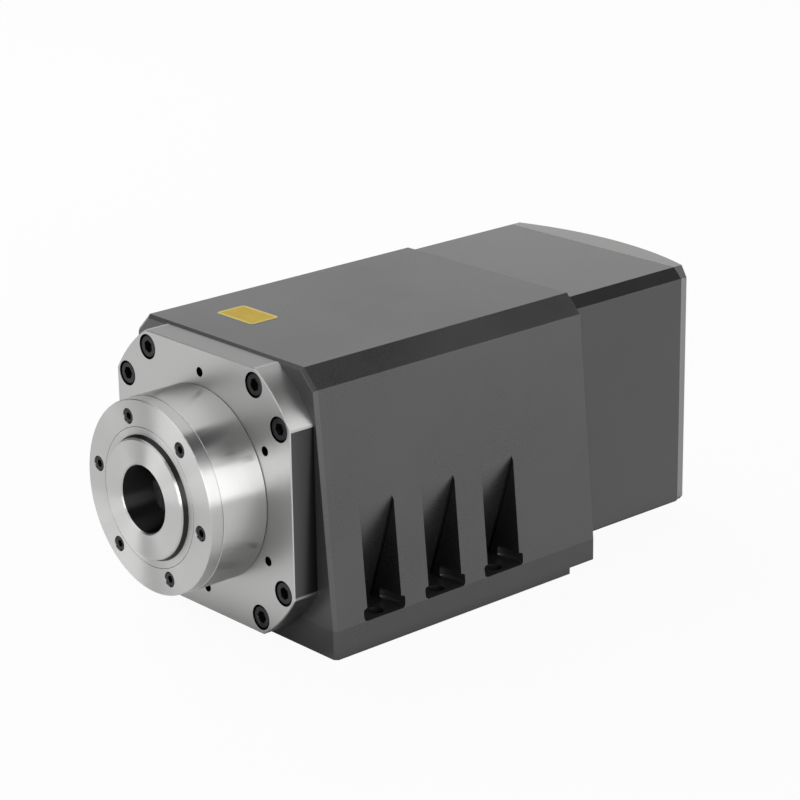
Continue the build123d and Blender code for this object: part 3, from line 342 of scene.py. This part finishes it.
def mouldedFinish(name, spec):
    # plastic, rubber and sheaths
    material, tree, shader = startMaterial(name)
    point = objectPoint(tree)
    cloud = noise(tree, point, 60.0, 3.0)
    grain = noise(tree, point, spec["grainScale"], 3.0, 0.6)
    base = spec["colour"]
    tone = mixColour(tree, spread(tree, cloud), shade(base, 0.88), shade(base, 1.12))
    tone = mixColour(tree, remap(tree, grain, 0.55, 0.75, 0.0, 0.3), tone, shade(base, 1.9))
    tree.links.new(tone, shader.inputs["Base Color"])
    rough = spread(tree, grain, spec["roughness"] - 0.06, spec["roughness"] + 0.06)
    tree.links.new(rough, shader.inputs["Roughness"])
    tree.links.new(roundedNormal(tree, grain, spec["relief"], 0.00004, 0.0002), shader.inputs["Normal"])
    return material


def stackedFinish(name, spec):
    # thin sheets stacked along Y, with varnish between them
    material, tree, shader = startMaterial(name)
    point = objectPoint(tree)
    x, y, z = splitPoint(tree, point)
    step = calc(tree, "FRACT", calc(tree, "MULTIPLY", calc(tree, "ADD", y, 1.0), 1.0 / spec["sheet"]))
    gap = remap(tree, apart(tree, step, 0.5), 0.32, 0.5)
    shift = lineNoise(tree, y, 2.0 / spec["sheet"], 0.0)
    base = spec["colour"]
    tone = mixColour(tree, spread(tree, shift), shade(base, 0.75), shade(base, 1.3))
    tone = mixColour(tree, gap, tone, shade(base, 0.25))
    tree.links.new(tone, shader.inputs["Base Color"])
    tree.links.new(remap(tree, gap, 0.0, 1.0, 0.38, 0.7), shader.inputs["Roughness"])
    height = calc(tree, "SUBTRACT", calc(tree, "MULTIPLY", noise(tree, point, 1800.0), 0.3), gap)
    tree.links.new(roundedNormal(tree, height, 0.5, 0.00008, 0.0002), shader.inputs["Normal"])
    shader.inputs["Metallic"].default_value = 0.85
    return material


def wireFinish(name, spec):
    # enamelled wire, wound round the core
    material, tree, shader = startMaterial(name)
    point = objectPoint(tree)
    x, y, z = splitPoint(tree, point)
    sway = calc(tree, "MULTIPLY", noise(tree, point, 90.0, 2.0), 0.0016)
    across = wave(tree, calc(tree, "ADD", hypot(tree, x, z), sway), spec["wire"])
    along = wave(tree, calc(tree, "ADD", y, sway), spec["wire"])
    strand = remap(tree, calc(tree, "ADD", across, along), -1.6, 1.6)
    base = spec["colour"]
    # the gaps between strands are darkened with painted shade
    tone = mixColour(tree, strand, shade(base, 0.3), shade(base, 1.15))
    tone = mixColour(tree, remap(tree, noise(tree, point, 45.0, 3.0), 0.4, 0.7, 0.0, 0.35), tone,
                     shade(base, 0.55))
    tree.links.new(tone, shader.inputs["Base Color"])
    tree.links.new(remap(tree, strand, 0.0, 1.0, 0.5, 0.28), shader.inputs["Roughness"])
    tree.links.new(roundedNormal(tree, strand, 0.7, 0.0003, 0.0004), shader.inputs["Normal"])
    shader.inputs["Metallic"].default_value = 0.8
    return material


def wovenFinish(name, spec):
    # resin pressed on cloth, seen on the ball cages
    material, tree, shader = startMaterial(name)
    point = objectPoint(tree)
    x, y, z = splitPoint(tree, point)
    angle = calc(tree, "MULTIPLY", calc(tree, "ARCTAN2", z, x), spec["radius"])
    weft = wave(tree, y, spec["thread"])
    weave = remap(tree, calc(tree, "MULTIPLY", wave(tree, angle, spec["thread"]), weft), -1.0, 1.0)
    base = spec["colour"]
    tone = mixColour(tree, weave, shade(base, 0.7), shade(base, 1.35))
    tree.links.new(tone, shader.inputs["Base Color"])
    tree.links.new(remap(tree, weave, 0.0, 1.0, 0.55, 0.38), shader.inputs["Roughness"])
    tree.links.new(roundedNormal(tree, weave, 0.35, 0.00006, 0.0003), shader.inputs["Normal"])
    return material


def plugFinish(name, spec):
    # a plated shell with a dark insert and gilt pins inside its mouth
    material, tree, shader = startMaterial(name)
    point = objectPoint(tree)
    x, y, z = splitPoint(tree, point)
    insert, pin = 0.0, 0.0
    for port in spec["ports"]:
        away = hypot(tree, calc(tree, "SUBTRACT", x, port["x"]), calc(tree, "SUBTRACT", z, port["z"]))
        within = calc(tree, "LESS_THAN", away, port["mouth"])
        deep = calc(tree, "GREATER_THAN", y, port["floor"] - spec["play"])
        proud = calc(tree, "GREATER_THAN", y, port["floor"] + spec["play"])
        insert = calc(tree, "MAXIMUM", insert, calc(tree, "MULTIPLY", within, deep))
        pin = calc(tree, "MAXIMUM", pin, calc(tree, "MULTIPLY", within, proud))
    marks = noise(tree, stretched(tree, point, (900.0, 2600.0, 900.0)), 1.0, 3.0)
    base = spec["colour"]
    tone = mixColour(tree, spread(tree, marks), shade(base, 0.9), shade(base, 1.1))
    tone = mixColour(tree, insert, tone, spec["insert"])
    tone = mixColour(tree, pin, tone, spec["pin"])
    tree.links.new(tone, shader.inputs["Base Color"])
    metal = calc(tree, "MAXIMUM", calc(tree, "SUBTRACT", 1.0, insert), pin)
    tree.links.new(metal, shader.inputs["Metallic"])
    tree.links.new(mixValue(tree, insert, spread(tree, marks, 0.2, 0.32), 0.45), shader.inputs["Roughness"])
    tree.links.new(roundedNormal(tree, marks, 0.12, 0.00003, 0.0002), shader.inputs["Normal"])
    return material


def stickerFinish(name, spec):
    # printed film with a paler margin, a little scuffed
    material, tree, shader = startMaterial(name)
    point = objectPoint(tree)
    x, y, z = splitPoint(tree, point)
    sides = []
    for value, middle, size in zip((x, y), spec["centre"], spec["size"]):
        sides.append(calc(tree, "SUBTRACT", apart(tree, value, middle), size / 2 - spec["margin"]))
    border = remap(tree, calc(tree, "MAXIMUM", sides[0], sides[1]), -0.0002, 0.0002)
    wear = noise(tree, point, 240.0, 5.0, 0.7)
    tone = mixColour(tree, spread(tree, noise(tree, point, 50.0, 2.0)), shade(spec["field"], 0.9),
                     shade(spec["field"], 1.06))
    tone = mixColour(tree, border, tone, spec["edge"])
    tone = mixColour(tree, remap(tree, wear, 0.6, 0.72, 0.0, 0.5), tone, shade(spec["field"], 0.5))
    tree.links.new(tone, shader.inputs["Base Color"])
    tree.links.new(spread(tree, wear, 0.4, 0.6), shader.inputs["Roughness"])
    shader.inputs["Specular IOR Level"].default_value = spec["gloss"]
    tree.links.new(roundedNormal(tree, noise(tree, point, 120.0, 3.0), 0.25, 0.0001, 0.0001),
                   shader.inputs["Normal"])
    return material


ports = {
    "power": {"x": -0.04525, "z": 0.04525, "mouth": 0.0103, "floor": 0.4045, "radius": 0.013,
              "from": 0.3968, "to": 0.4140},
    "signal": {"x": 0.04525, "z": 0.04525, "mouth": 0.0063, "floor": 0.3975, "radius": 0.009,
               "from": 0.3965, "to": 0.4072},
}
# where the housing's paint gets painted shade: the foot pockets and the base band
pockets = {"base": -0.0833, "halfWidth": 0.1125, "lean": 0.0906, "middle": 0.1207, "step": 0.056,
           "halfLength": 0.0159, "top": -0.0015, "skin": 0.0004, "deep": 0.026, "dark": 0.25,
           "wallFacing": -0.97, "wallDark": 0.5, "cornerFacing": (-0.04, -0.35), "cornerDark": 0.96,
           "shadeTone": 0.04, "band": 0.2}
# the rim tones are painted shade, darker towards the back, and painted light on the top side
flangeLook = {"from": -0.0006, "turnedFrom": 0.1115, "topFrom": 0.094, "colour": (0.47, 0.47, 0.465, 1.0),
              "roughness": 0.37, "noseRough": 0.26, "streak": 0.2, "lowCornerShade": 0.5, "rimRough": 0.3,
              "rim": (0.075, 0.075, 0.075, 1.0), "rimBackShade": 0.5, "rimFade": (0.002, 0.018),
              "rimTopLight": (0.27, 0.27, 0.268, 1.0)}
darkPaint = {"colour": (0.106, 0.107, 0.106), "roughness": 0.3, "cloudScale": 9.0, "cloud": 0.03,
             "grainScale": 1400.0, "grainShade": 0.12, "relief": 0.2, "wear": 0.4, "metallic": 0.6}
brightSteel = {"colour": (0.55, 0.55, 0.545), "lines": "turned", "contrast": 0.03, "roughness": (0.33, 0.37),
               "relief": 0.01, "streak": 1.0}
finishes = {
    "housing_paint": paintedFinish("housingPaint", {**darkPaint, "recess": pockets}),
    "box_paint": paintedFinish("boxPaint", {**darkPaint, "colour": (0.1035, 0.1005, 0.1035),
                                            "roughness": 0.2}),
    "cap_paint": paintedFinish("capPaint", {**darkPaint, "colour": (0.29, 0.29, 0.285),
                                            "grainShade": 0.08}),
    "flange_steel": metalFinish("flangeSteel", {**brightSteel, "contrast": 0.025, "roughness": (0.32, 0.36),
                                                "flange": flangeLook}),
    "turned_steel": metalFinish("turnedSteel", brightSteel),
    # the hub's bore and low wall are darkened with painted shade
    "hub_steel": metalFinish("hubSteel", {**brightSteel, "colour": (0.56, 0.56, 0.555), "bore": 0.02405,
                                          "wall": 0.0425, "oilTone": 0.07, "oilRough": 0.4}),
    "bearing_steel": metalFinish("bearingSteel", {"colour": (0.68, 0.68, 0.69), "lines": "turned",
                                                  "contrast": 0.04, "roughness": (0.06, 0.14),
                                                  "relief": 0.02, "streak": 0.4}),
    "machined_steel": metalFinish("machinedSteel", {"colour": (0.52, 0.51, 0.49), "lines": "turned",
                                                    "contrast": 0.1, "roughness": (0.26, 0.42),
                                                    "relief": 0.08}),
    "aluminium": metalFinish("aluminium", {"colour": (0.74, 0.74, 0.75), "lines": "turned",
                                           "contrast": 0.06, "roughness": (0.28, 0.4), "relief": 0.06}),
    "fitting_brass": metalFinish("fittingBrass", {"colour": (0.62, 0.58, 0.5), "lines": "milled",
                                                  "contrast": 0.06, "roughness": (0.2, 0.32),
                                                  "relief": 0.05}),
    "clamp_steel": oxideFinish("clampSteel", {"colour": (0.03, 0.03, 0.032), "roughness": 0.46,
                                              "wear": 0.1}),
    "black_oxide": oxideFinish("blackOxide", {"colour": (0.022, 0.022, 0.024), "roughness": 0.36,
                                              "wear": 0.35}),
    "cage_resin": wovenFinish("cageResin", {"colour": (0.36, 0.17, 0.06), "thread": 0.0008,
                                            "radius": 0.041}),
    "lamination": stackedFinish("lamination", {"colour": (0.24, 0.24, 0.26), "sheet": 0.0005}),
    "copper": wireFinish("copper", {"colour": (0.72, 0.27, 0.1), "wire": 0.0012}),
    "connector_shell": plugFinish("connectorShell", {"colour": (0.6, 0.59, 0.57),
                                                     "insert": (0.012, 0.012, 0.013, 1.0),
                                                     "pin": (0.72, 0.5, 0.16, 1.0), "play": 0.0003,
                                                     "ports": ports.values()}),
    "seal_rubber": mouldedFinish("sealRubber", {"colour": (0.016, 0.016, 0.016), "roughness": 0.62,
                                                "grainScale": 1600.0, "relief": 0.3}),
    "air_tube": mouldedFinish("airTube", {"colour": (0.03, 0.09, 0.42), "roughness": 0.25,
                                          "grainScale": 500.0, "relief": 0.05}),
    "lead_sheath": mouldedFinish("leadSheath", {"colour": (0.03, 0.03, 0.03), "roughness": 0.5,
                                                "grainScale": 900.0, "relief": 0.15}),
    "sensor_body": mouldedFinish("sensorBody", {"colour": (0.02, 0.02, 0.022), "roughness": 0.45,
                                                "grainScale": 1200.0, "relief": 0.2}),
}
slotOf = {part["node"]: part["material_slot"] for part in frame["record"]["subparts"]}
ownFinish = {"rear_box": "box_paint", "front_bearing_housing": "flange_steel",
             "rotor_end_rings": "turned_steel", "spindle_shaft": "hub_steel", "drawbar": "clamp_steel",
             "gripper_carrier": "clamp_steel", **{f"gripper_jaw_{k}": "clamp_steel" for k in range(1, 7)}}
for name, node in frame["nodes"].items():
    finish = finishes[ownFinish.get(name, slotOf[name])]
    node.data.materials.clear()
    node.data.materials.append(finish)
print("finishes set on", len(frame["nodes"]), "nodes")


# Mesh helpers

def meshObject(name, build, finish):
    work = bmesh.new()
    build(work)
    bmesh.ops.recalc_face_normals(work, faces=work.faces)
    mesh = bpy.data.meshes.new(name)
    work.to_mesh(mesh)
    work.free()
    mesh.materials.append(finish)
    made = bpy.data.objects.new(name, mesh)
    bpy.context.scene.collection.objects.link(made)
    return made


def ringOfPoints(work, radius, y, count):
    # a radius, or a rule that gives it for an angle
    rule = radius if callable(radius) else (lambda angle: radius)
    turns = [2 * math.pi * k / count for k in range(count)]
    return [work.verts.new((rule(a) * math.cos(a), y, rule(a) * math.sin(a))) for a in turns]


def bridge(work, loops):
    for near, far in zip(loops, loops[1:]):
        count = len(near)
        for k in range(count):
            work.faces.new((near[k], near[(k + 1) % count], far[(k + 1) % count], far[k]))


def closedBody(work, rings, count):
    # rings of points about Y, joined and closed at both ends
    loops = [ringOfPoints(work, radius, y, count) for radius, y in rings]
    bridge(work, loops)
    for loop, y in ((loops[0], rings[0][1]), (loops[-1], rings[-1][1])):
        middle = work.verts.new((0.0, y, 0.0))
        for k in range(count):
            work.faces.new((loop[k], loop[(k + 1) % count], middle))


def turnedRings(name, profiles, finish, count=48):
    # rings, each from a closed outline of radii and places along Y
    def build(work):
        for profile in profiles:
            loops = [ringOfPoints(work, radius, y, count) for radius, y in profile]
            bridge(work, loops + loops[:1])
    return meshObject(name, build, finish)


def hexRadius(acrossFlats):
    def rule(angle):
        return acrossFlats / 2 / math.cos((angle + math.pi / 6) % (math.pi / 3) - math.pi / 6)
    return rule


def socketScrew(name, thread, length, finish, toward):
    # a socket-head screw with its head's top at y 0, pointing along +Y, or along -Y where toward is -1
    head = 0.75 * thread + 0.0005
    socket = hexRadius(0.8 * thread)
    mouth = hexRadius(0.8 * thread + 0.0005)
    edge = 0.08 * thread
    count = 96
    pitch = 0.15 * thread

    def knurled(angle):
        return head - 0.0002 * (0.5 - 0.5 * math.cos(angle * count / 4))

    rings = [(socket, 0.62 * thread), (socket, 0.5 * thread), (socket, 0.0003), (mouth, 0.0),
             (0.62 * head, 0.0), (head - edge, 0.0), (head, edge), (knurled, edge * 1.6),
             (knurled, 0.86 * thread), (head, 0.92 * thread), (head - 0.0003, thread),
             (thread / 2, thread)]
    y = 1.3 * thread
    while y + pitch < thread + length:
        rings += [(thread / 2, y), (thread / 2 - 0.5 * pitch, y + pitch / 2)]
        y += pitch
    rings += [(thread / 2, thread + length - pitch / 2), (thread / 2 - 0.7 * pitch, thread + length)]

    def build(work):
        closedBody(work, [(radius, toward * y) for radius, y in rings], count)
    return meshObject(name, build, finish)


def placingTree(name):
    # sets a copy of one piece on every point, each turned about Y by its own amount
    tree = bpy.data.node_groups.new(name, "GeometryNodeTree")
    sockets = (("Points", "NodeSocketGeometry"), ("Piece", "NodeSocketObject"),
               ("Turn", "NodeSocketFloat"), ("Seed", "NodeSocketInt"), ("Finish", "NodeSocketMaterial"))
    for label, kind in sockets:
        tree.interface.new_socket(label, in_out="INPUT", socket_type=kind)
    tree.interface.new_socket("Geometry", in_out="OUTPUT", socket_type="NodeSocketGeometry")
    given = tree.nodes.new("NodeGroupInput")
    result = tree.nodes.new("NodeGroupOutput")
    piece = tree.nodes.new("GeometryNodeObjectInfo")
    turn = tree.nodes.new("FunctionNodeRandomValue")
    euler = tree.nodes.new("ShaderNodeCombineXYZ")
    place = tree.nodes.new("GeometryNodeInstanceOnPoints")
    real = tree.nodes.new("GeometryNodeRealizeInstances")
    paint = tree.nodes.new("GeometryNodeSetMaterial")
    link = tree.links.new
    link(given.outputs["Piece"], piece.inputs["Object"])
    link(given.outputs["Turn"], turn.inputs[3])
    link(given.outputs["Seed"], turn.inputs["Seed"])
    link(turn.outputs[1], euler.inputs["Y"])
    link(given.outputs["Points"], place.inputs["Points"])
    link(piece.outputs["Geometry"], place.inputs["Instance"])
    link(euler.outputs["Vector"], place.inputs["Rotation"])
    link(place.outputs["Instances"], real.inputs["Geometry"])
    link(real.outputs["Geometry"], paint.inputs["Geometry"])
    link(given.outputs["Finish"], paint.inputs["Material"])
    link(paint.outputs["Geometry"], result.inputs["Geometry"])
    return tree


def settle(made, name):
    # turns the evaluated result into a plain mesh with no modifier
    bpy.context.view_layer.update()
    graph = bpy.context.evaluated_depsgraph_get()
    mesh = bpy.data.meshes.new_from_object(made.evaluated_get(graph))
    mesh.name = name
    made.modifiers.clear()
    made.data = mesh


placing = placingTree("placingOnPoints")


def placed(name, places, piece, slot, body, turn=0.0, seed=1):
    # one finished piece with a copy at every place, in the slot's finish, riding on the body
    mesh = bpy.data.meshes.new(name)
    mesh.from_pydata(places, [], [])
    made = bpy.data.objects.new(name, mesh)
    bpy.context.scene.collection.objects.link(made)
    modifier = made.modifiers.new("placing", "NODES")
    modifier.node_group = placing
    values = {"Piece": piece, "Turn": turn, "Seed": seed, "Finish": finishes[slot]}
    for item in placing.interface.items_tree:
        if item.in_out == "INPUT" and item.name in values:
            modifier[item.identifier] = values[item.name]
    settle(made, name)
    bpy.data.objects.remove(piece)
    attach(made, body)
    return made


def circlePlaces(diameter, angles, y):
    turns = [math.radians(a) for a in angles]
    return [(diameter / 2 * math.cos(a), y, diameter / 2 * math.sin(a)) for a in turns]


def cornerPlaces(node, inset, y):
    # one place at each corner of a node's box, moved in by the inset
    low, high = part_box(node)
    return [(x, y, z) for x in (low.x + inset, high.x - inset) for z in (low.z + inset, high.z - inset)]


# Screws with knurled heads and deep sockets stand for the plain CAD screws

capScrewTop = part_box("rear_cap_screws")[1].y
screws = {
    "flangeScrews": {"node": "flange_screws", "thread": 0.010, "length": 0.030, "toward": 1, "seed": 3,
                     "places": circlePlaces(0.203, [45 + 90 * k + side * 10 for k in range(4)
                                                    for side in (-1, 1)], 0.0005)},
    "coverScrews": {"node": "cover_screws", "thread": 0.006, "length": 0.0165, "toward": 1, "seed": 5,
                    "places": circlePlaces(0.114, [50 + 60 * k for k in range(6)], -0.0465)},
    "rearCapScrews": {"node": "rear_cap_screws", "thread": 0.005, "length": 0.0189, "toward": -1,
                      "seed": 7, "places": cornerPlaces("rear_cap_screws", 0.00425, capScrewTop)},
}
for name, spec in screws.items():
    piece = socketScrew(name + "Piece", spec["thread"], spec["length"], finishes["black_oxide"],
                        spec["toward"])
    made = placed(name, spec["places"], piece, "black_oxide", "housing", 2 * math.pi, spec["seed"])
    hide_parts(spec["node"])
print("screws placed")


# Rear ports: coupling threads on the connectors and release collars on the hose fittings

coupling = {"pitch": 0.0024, "ridge": 0.0006, "root": 0.0002, "flank": 0.42, "crest": 0.105}
for name, port in ports.items():
    root, crest = port["radius"] - coupling["root"], port["radius"] + coupling["ridge"]
    flank, flat = coupling["pitch"] * coupling["flank"], coupling["pitch"] * coupling["crest"]
    outline = [(root, -flank), (crest, -flat), (crest, flat), (root, flank)]
    turns = int((port["to"] - port["from"]) / coupling["pitch"])
    places = [(port["x"], port["from"] + coupling["pitch"] * k, port["z"]) for k in range(turns + 1)]
    ring = turnedRings(name + "ThreadPiece", [outline], finishes["connector_shell"])
    placed(name + "Thread", places, ring, "connector_shell", "housing")

collar = {"start": 0.4145, "length": 0.0018, "neck": 0.0006, "set": 0.0002, "in": 0.0012}
hoses = {
    "coolant": {"places": [(-0.04525, -0.04525), (0.04525, -0.04525)], "hose": 0.006, "barrel": 0.009},
    "air": {"places": [(0.0, 0.03), (0.0, -0.048)], "hose": 0.004, "barrel": 0.007},
}
for name, spec in hoses.items():
    inner, outer, end = spec["hose"], spec["barrel"] - collar["in"], collar["length"]
    neck = outer - collar["neck"]
    outline = [(inner, -collar["set"]), (neck, -collar["set"]), (neck, end * 0.4), (outer, end * 0.5),
               (outer, end * 0.85), (outer - 0.0003, end), (inner + 0.0004, end), (inner, end * 0.8)]
    places = [(x, collar["start"], z) for x, z in spec["places"]]
    ring = turnedRings(name + "CollarPiece", [outline], finishes["sensor_body"])
    placed(name + "Collars", places, ring, "sensor_body", "housing")
print("rear ports dressed")


# Disc springs, stacked on the spindle

springs = {"node": "disc_springs", "joint": "drawbar_slide", "pairs": 20, "thick": 0.002, "play": 0.00005,
           "inner": 0.0095}
springLow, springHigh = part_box(springs["node"])
room = springHigh.y - springLow.y + springs["play"]
pairLength = room / springs["pairs"]
cone = pairLength / 2 - springs["thick"] - springs["play"]
washers = []
for start, innerRise, outerRise in ((0.0, 0.0, cone), (pairLength / 2, cone, 0.0)):
    innerY, outerY = start + innerRise, start + outerRise
    washers.append([(springs["inner"], innerY), (springHigh.x, outerY),
                    (springHigh.x, outerY + springs["thick"]),
                    (springs["inner"], innerY + springs["thick"])])
pair = turnedRings("springPair", washers, finishes["machined_steel"], 64)
places = [(0.0, springLow.y + pairLength * k, 0.0) for k in range(springs["pairs"])]
stack = placed("discSprings", places, pair, "machined_steel", "spindle")
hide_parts(springs["node"])
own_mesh(stack)


# A plain yellow sticker on the housing's top

sticker = {"centre": (-0.0335, 0.0695), "size": (0.040, 0.025), "corner": 0.003, "thick": 0.00015,
           "margin": 0.0022, "field": (0.68, 0.46, 0.02), "edge": (0.82, 0.66, 0.16, 1.0), "gloss": 0.2}


def buildSticker(work):
    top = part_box("motor_housing")[1].z
    corner = sticker["corner"]
    outline = []
    for signX, signY, start in ((1, 1, 0), (-1, 1, 90), (-1, -1, 180), (1, -1, 270)):
        x = sticker["centre"][0] + signX * (sticker["size"][0] / 2 - corner)
        y = sticker["centre"][1] + signY * (sticker["size"][1] / 2 - corner)
        angles = [math.radians(start + 15 * step) for step in range(7)]
        outline += [(x + corner * math.cos(a), y + corner * math.sin(a)) for a in angles]
    lower = [work.verts.new((x, y, top)) for x, y in outline]
    upper = [work.verts.new((x, y, top + sticker["thick"])) for x, y in outline]
    work.faces.new(upper)
    work.faces.new(list(reversed(lower)))
    bridge(work, [lower, upper])


label = meshObject("plainSticker", buildSticker, stickerFinish("stickerFilm", sticker))
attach(label, "housing")
print("sticker laid")


# Stage: floor, lights and camera

white = (1.0, 1.0, 1.0, 1.0)
floorLook = {"size": 30.0, "drop": 0.0002, "colour": (0.82, 0.82, 0.82, 1.0), "roughness": 0.9,
             "white": 0.95, "secondWhite": 0.1, "underMiddle": 0.195, "underSize": (0.19, 0.43),
             "underEdge": 0.03}
worldLight = 0.35
lamps = {
    "leftSoftbox": {"place": (-1.6, 0.1, 1.3), "size": (2.2, 2.2), "power": 23.0, "mirrored": False},
    "frontSoftbox": {"place": (-0.5, -2.4, 0.8), "size": (2.4, 1.6), "power": 16.0, "mirrored": True},
}
cards = {
    "rightBackFlag": {"toward": (0.27, 0.612, 0.742), "away": 3.0, "size": (0.6, 1.0), "tone": 0.05},
    "rightTopFlag": {"toward": (0.5, 0.0, 0.866), "away": 3.1, "size": (1.0, 1.2), "tone": 0.05},
    "rightFrontFlag": {"toward": (0.395, -0.612, 0.684), "away": 3.0, "size": (0.94, 0.9), "tone": 0.05},
    "rightBackCard": {"toward": (0.724, 0.612, 0.315), "away": 2.0, "size": (0.77, 0.6), "tone": 1.9},
    "rightSideCard": {"toward": (0.963, 0.0, 0.267), "away": 2.1, "size": (0.75, 0.8), "tone": 2.2},
    "rightFrontCard": {"toward": (0.761, -0.612, 0.211), "away": 2.0, "size": (0.58, 0.6), "tone": 3.8},
    "leftFrontFlag": {"toward": (-0.84, -0.42, 0.34), "away": 3.0, "size": (1.0, 1.2), "tone": 0.08},
    "leftBackCard": {"toward": (-0.66, 0.60, 0.45), "away": 3.0, "size": (1.3, 1.3), "tone": 0.84},
}
centre = (cadBox[0] + cadBox[1]) / 2


def seenRays(tree):
    # 1 for rays that the camera sends straight, by a reflection or through glass
    rays = addNode(tree, "ShaderNodeLightPath").outputs
    seen = calc(tree, "MAXIMUM", rays["Is Camera Ray"], rays["Is Glossy Ray"])
    return calc(tree, "MAXIMUM", seen, rays["Is Transmission Ray"]), rays


def surfaceSocket(tree):
    return next(node for node in tree.nodes if node.type == "OUTPUT_MATERIAL").inputs["Surface"]


def floorMaterial(look):
    # pale floor that reads white to the camera and in reflections, but keeps the shadow;
    # metal seen in metal, and the ground under the object, show the plain floor
    material, tree, shader = startMaterial("paleFloor")
    shader.inputs["Base Color"].default_value = look["colour"]
    shader.inputs["Roughness"].default_value = look["roughness"]
    glow = addNode(tree, "ShaderNodeEmission", None, Color=white, Strength=1.0)
    seen, rays = seenRays(tree)
    second = calc(tree, "GREATER_THAN", rays["Glossy Depth"], 1.5)
    seen = calc(tree, "MULTIPLY", seen, mixValue(tree, second, look["white"], look["secondWhite"]))
    x, y, z = splitPoint(tree, objectPoint(tree))
    beside = calc(tree, "SUBTRACT", calc(tree, "ABSOLUTE", x), look["underSize"][0] / 2)
    along = calc(tree, "SUBTRACT", apart(tree, y, look["underMiddle"]), look["underSize"][1] / 2)
    bare = remap(tree, calc(tree, "MAXIMUM", beside, along), 0.0, look["underEdge"])
    seen = calc(tree, "MULTIPLY", seen, mixValue(tree, rays["Is Glossy Ray"], 1.0, bare))
    mix = addNode(tree, "ShaderNodeMixShader")
    tree.links.new(seen, mix.inputs[0])
    tree.links.new(shader.outputs["BSDF"], mix.inputs[1])
    tree.links.new(glow.outputs["Emission"], mix.inputs[2])
    tree.links.new(mix.outputs["Shader"], surfaceSocket(tree))
    return material


def buildFloor(work):
    half = floorLook["size"] / 2
    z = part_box("motor_housing")[0].z - floorLook["drop"]
    corners = ((-half, -half), (half, -half), (half, half), (-half, half))
    work.faces.new([work.verts.new((x, y, z)) for x, y in corners])


def makeWorld():
    world = bpy.data.worlds.new("studio")
    bpy.context.scene.world = world
    world.use_nodes = True
    tree = world.node_tree
    tree.nodes.clear()
    strength = mixValue(tree, seenRays(tree)[0], worldLight, 1.0)
    background = addNode(tree, "ShaderNodeBackground", None, Color=white, Strength=strength)
    output = tree.nodes.new("ShaderNodeOutputWorld")
    tree.links.new(background.outputs["Background"], output.inputs["Surface"])


def softLight(name, place, size, power, mirrored):
    data = bpy.data.lights.new(name, "AREA")
    data.shape = "RECTANGLE"
    data.size, data.size_y = size
    data.energy = power
    lamp = bpy.data.objects.new(name, data)
    bpy.context.scene.collection.objects.link(lamp)
    lamp.location = centre + Vector(place)
    lamp.rotation_mode = "QUATERNION"
    lamp.rotation_quaternion = (-Vector(place)).to_track_quat("-Z", "Y")
    lamp.visible_glossy = mirrored


def studioCard(name, toward, away, size, tone):
    # a card that only shows as a reflection in metal and paint
    material, tree, shader = startMaterial(name)
    tree.nodes.remove(shader)
    glow = addNode(tree, "ShaderNodeEmission", None, Color=white, Strength=tone)
    tree.links.new(glow.outputs["Emission"], surfaceSocket(tree))
    toward = Vector(toward).normalized()
    across = Vector((0, 1, 0)).cross(toward).normalized()
    along = toward.cross(across)
    middle = centre + toward * away

    def build(work):
        corners = ((-1, -1), (1, -1), (1, 1), (-1, 1))
        work.faces.new([work.verts.new(middle + across * size[0] * a + along * size[1] * b)
                        for a, b in corners])
    card = meshObject(name, build, material)
    card.visible_camera = False
    card.visible_diffuse = False
    card.visible_transmission = False
    card.visible_shadow = False


meshObject("floor", buildFloor, floorMaterial(floorLook))
makeWorld()
for name, spec in lamps.items():
    softLight(name, **spec)
for name, spec in cards.items():
    studioCard(name, **spec)

cameraSet = {"target": (-0.01348, 0.130, 0.03876), "distance": 1.9326, "azimuth": 49.83,
             "elevation": 18.37, "roll": -1.31, "lens": 122.0, "shiftX": 0.0826, "shiftY": -0.02405}


def makeCamera():
    azimuth, elevation = math.radians(cameraSet["azimuth"]), math.radians(cameraSet["elevation"])
    back = Vector((math.sin(azimuth) * math.cos(elevation), -math.cos(azimuth) * math.cos(elevation),
                   math.sin(elevation)))
    level = Vector((0, 0, 1)).cross(back).normalized()
    upright = back.cross(level)
    roll = math.radians(cameraSet["roll"])
    right = level * math.cos(roll) + upright * math.sin(roll)
    up = upright * math.cos(roll) - level * math.sin(roll)
    data = bpy.data.cameras.new("photoCamera")
    data.lens = cameraSet["lens"]
    data.sensor_width = 36.0
    data.shift_x, data.shift_y = cameraSet["shiftX"], cameraSet["shiftY"]
    data.clip_start, data.clip_end = 0.05, 60.0
    camera = bpy.data.objects.new("photoCamera", data)
    bpy.context.scene.collection.objects.link(camera)
    turn = Matrix((right, up, back)).transposed()
    place = Vector(cameraSet["target"]) + back * cameraSet["distance"]
    camera.matrix_world = Matrix.Translation(place) @ turn.to_4x4()
    return camera


bpy.context.scene.camera = makeCamera()
bpy.context.scene.view_settings.view_transform = "Standard"
print("stage and camera set")
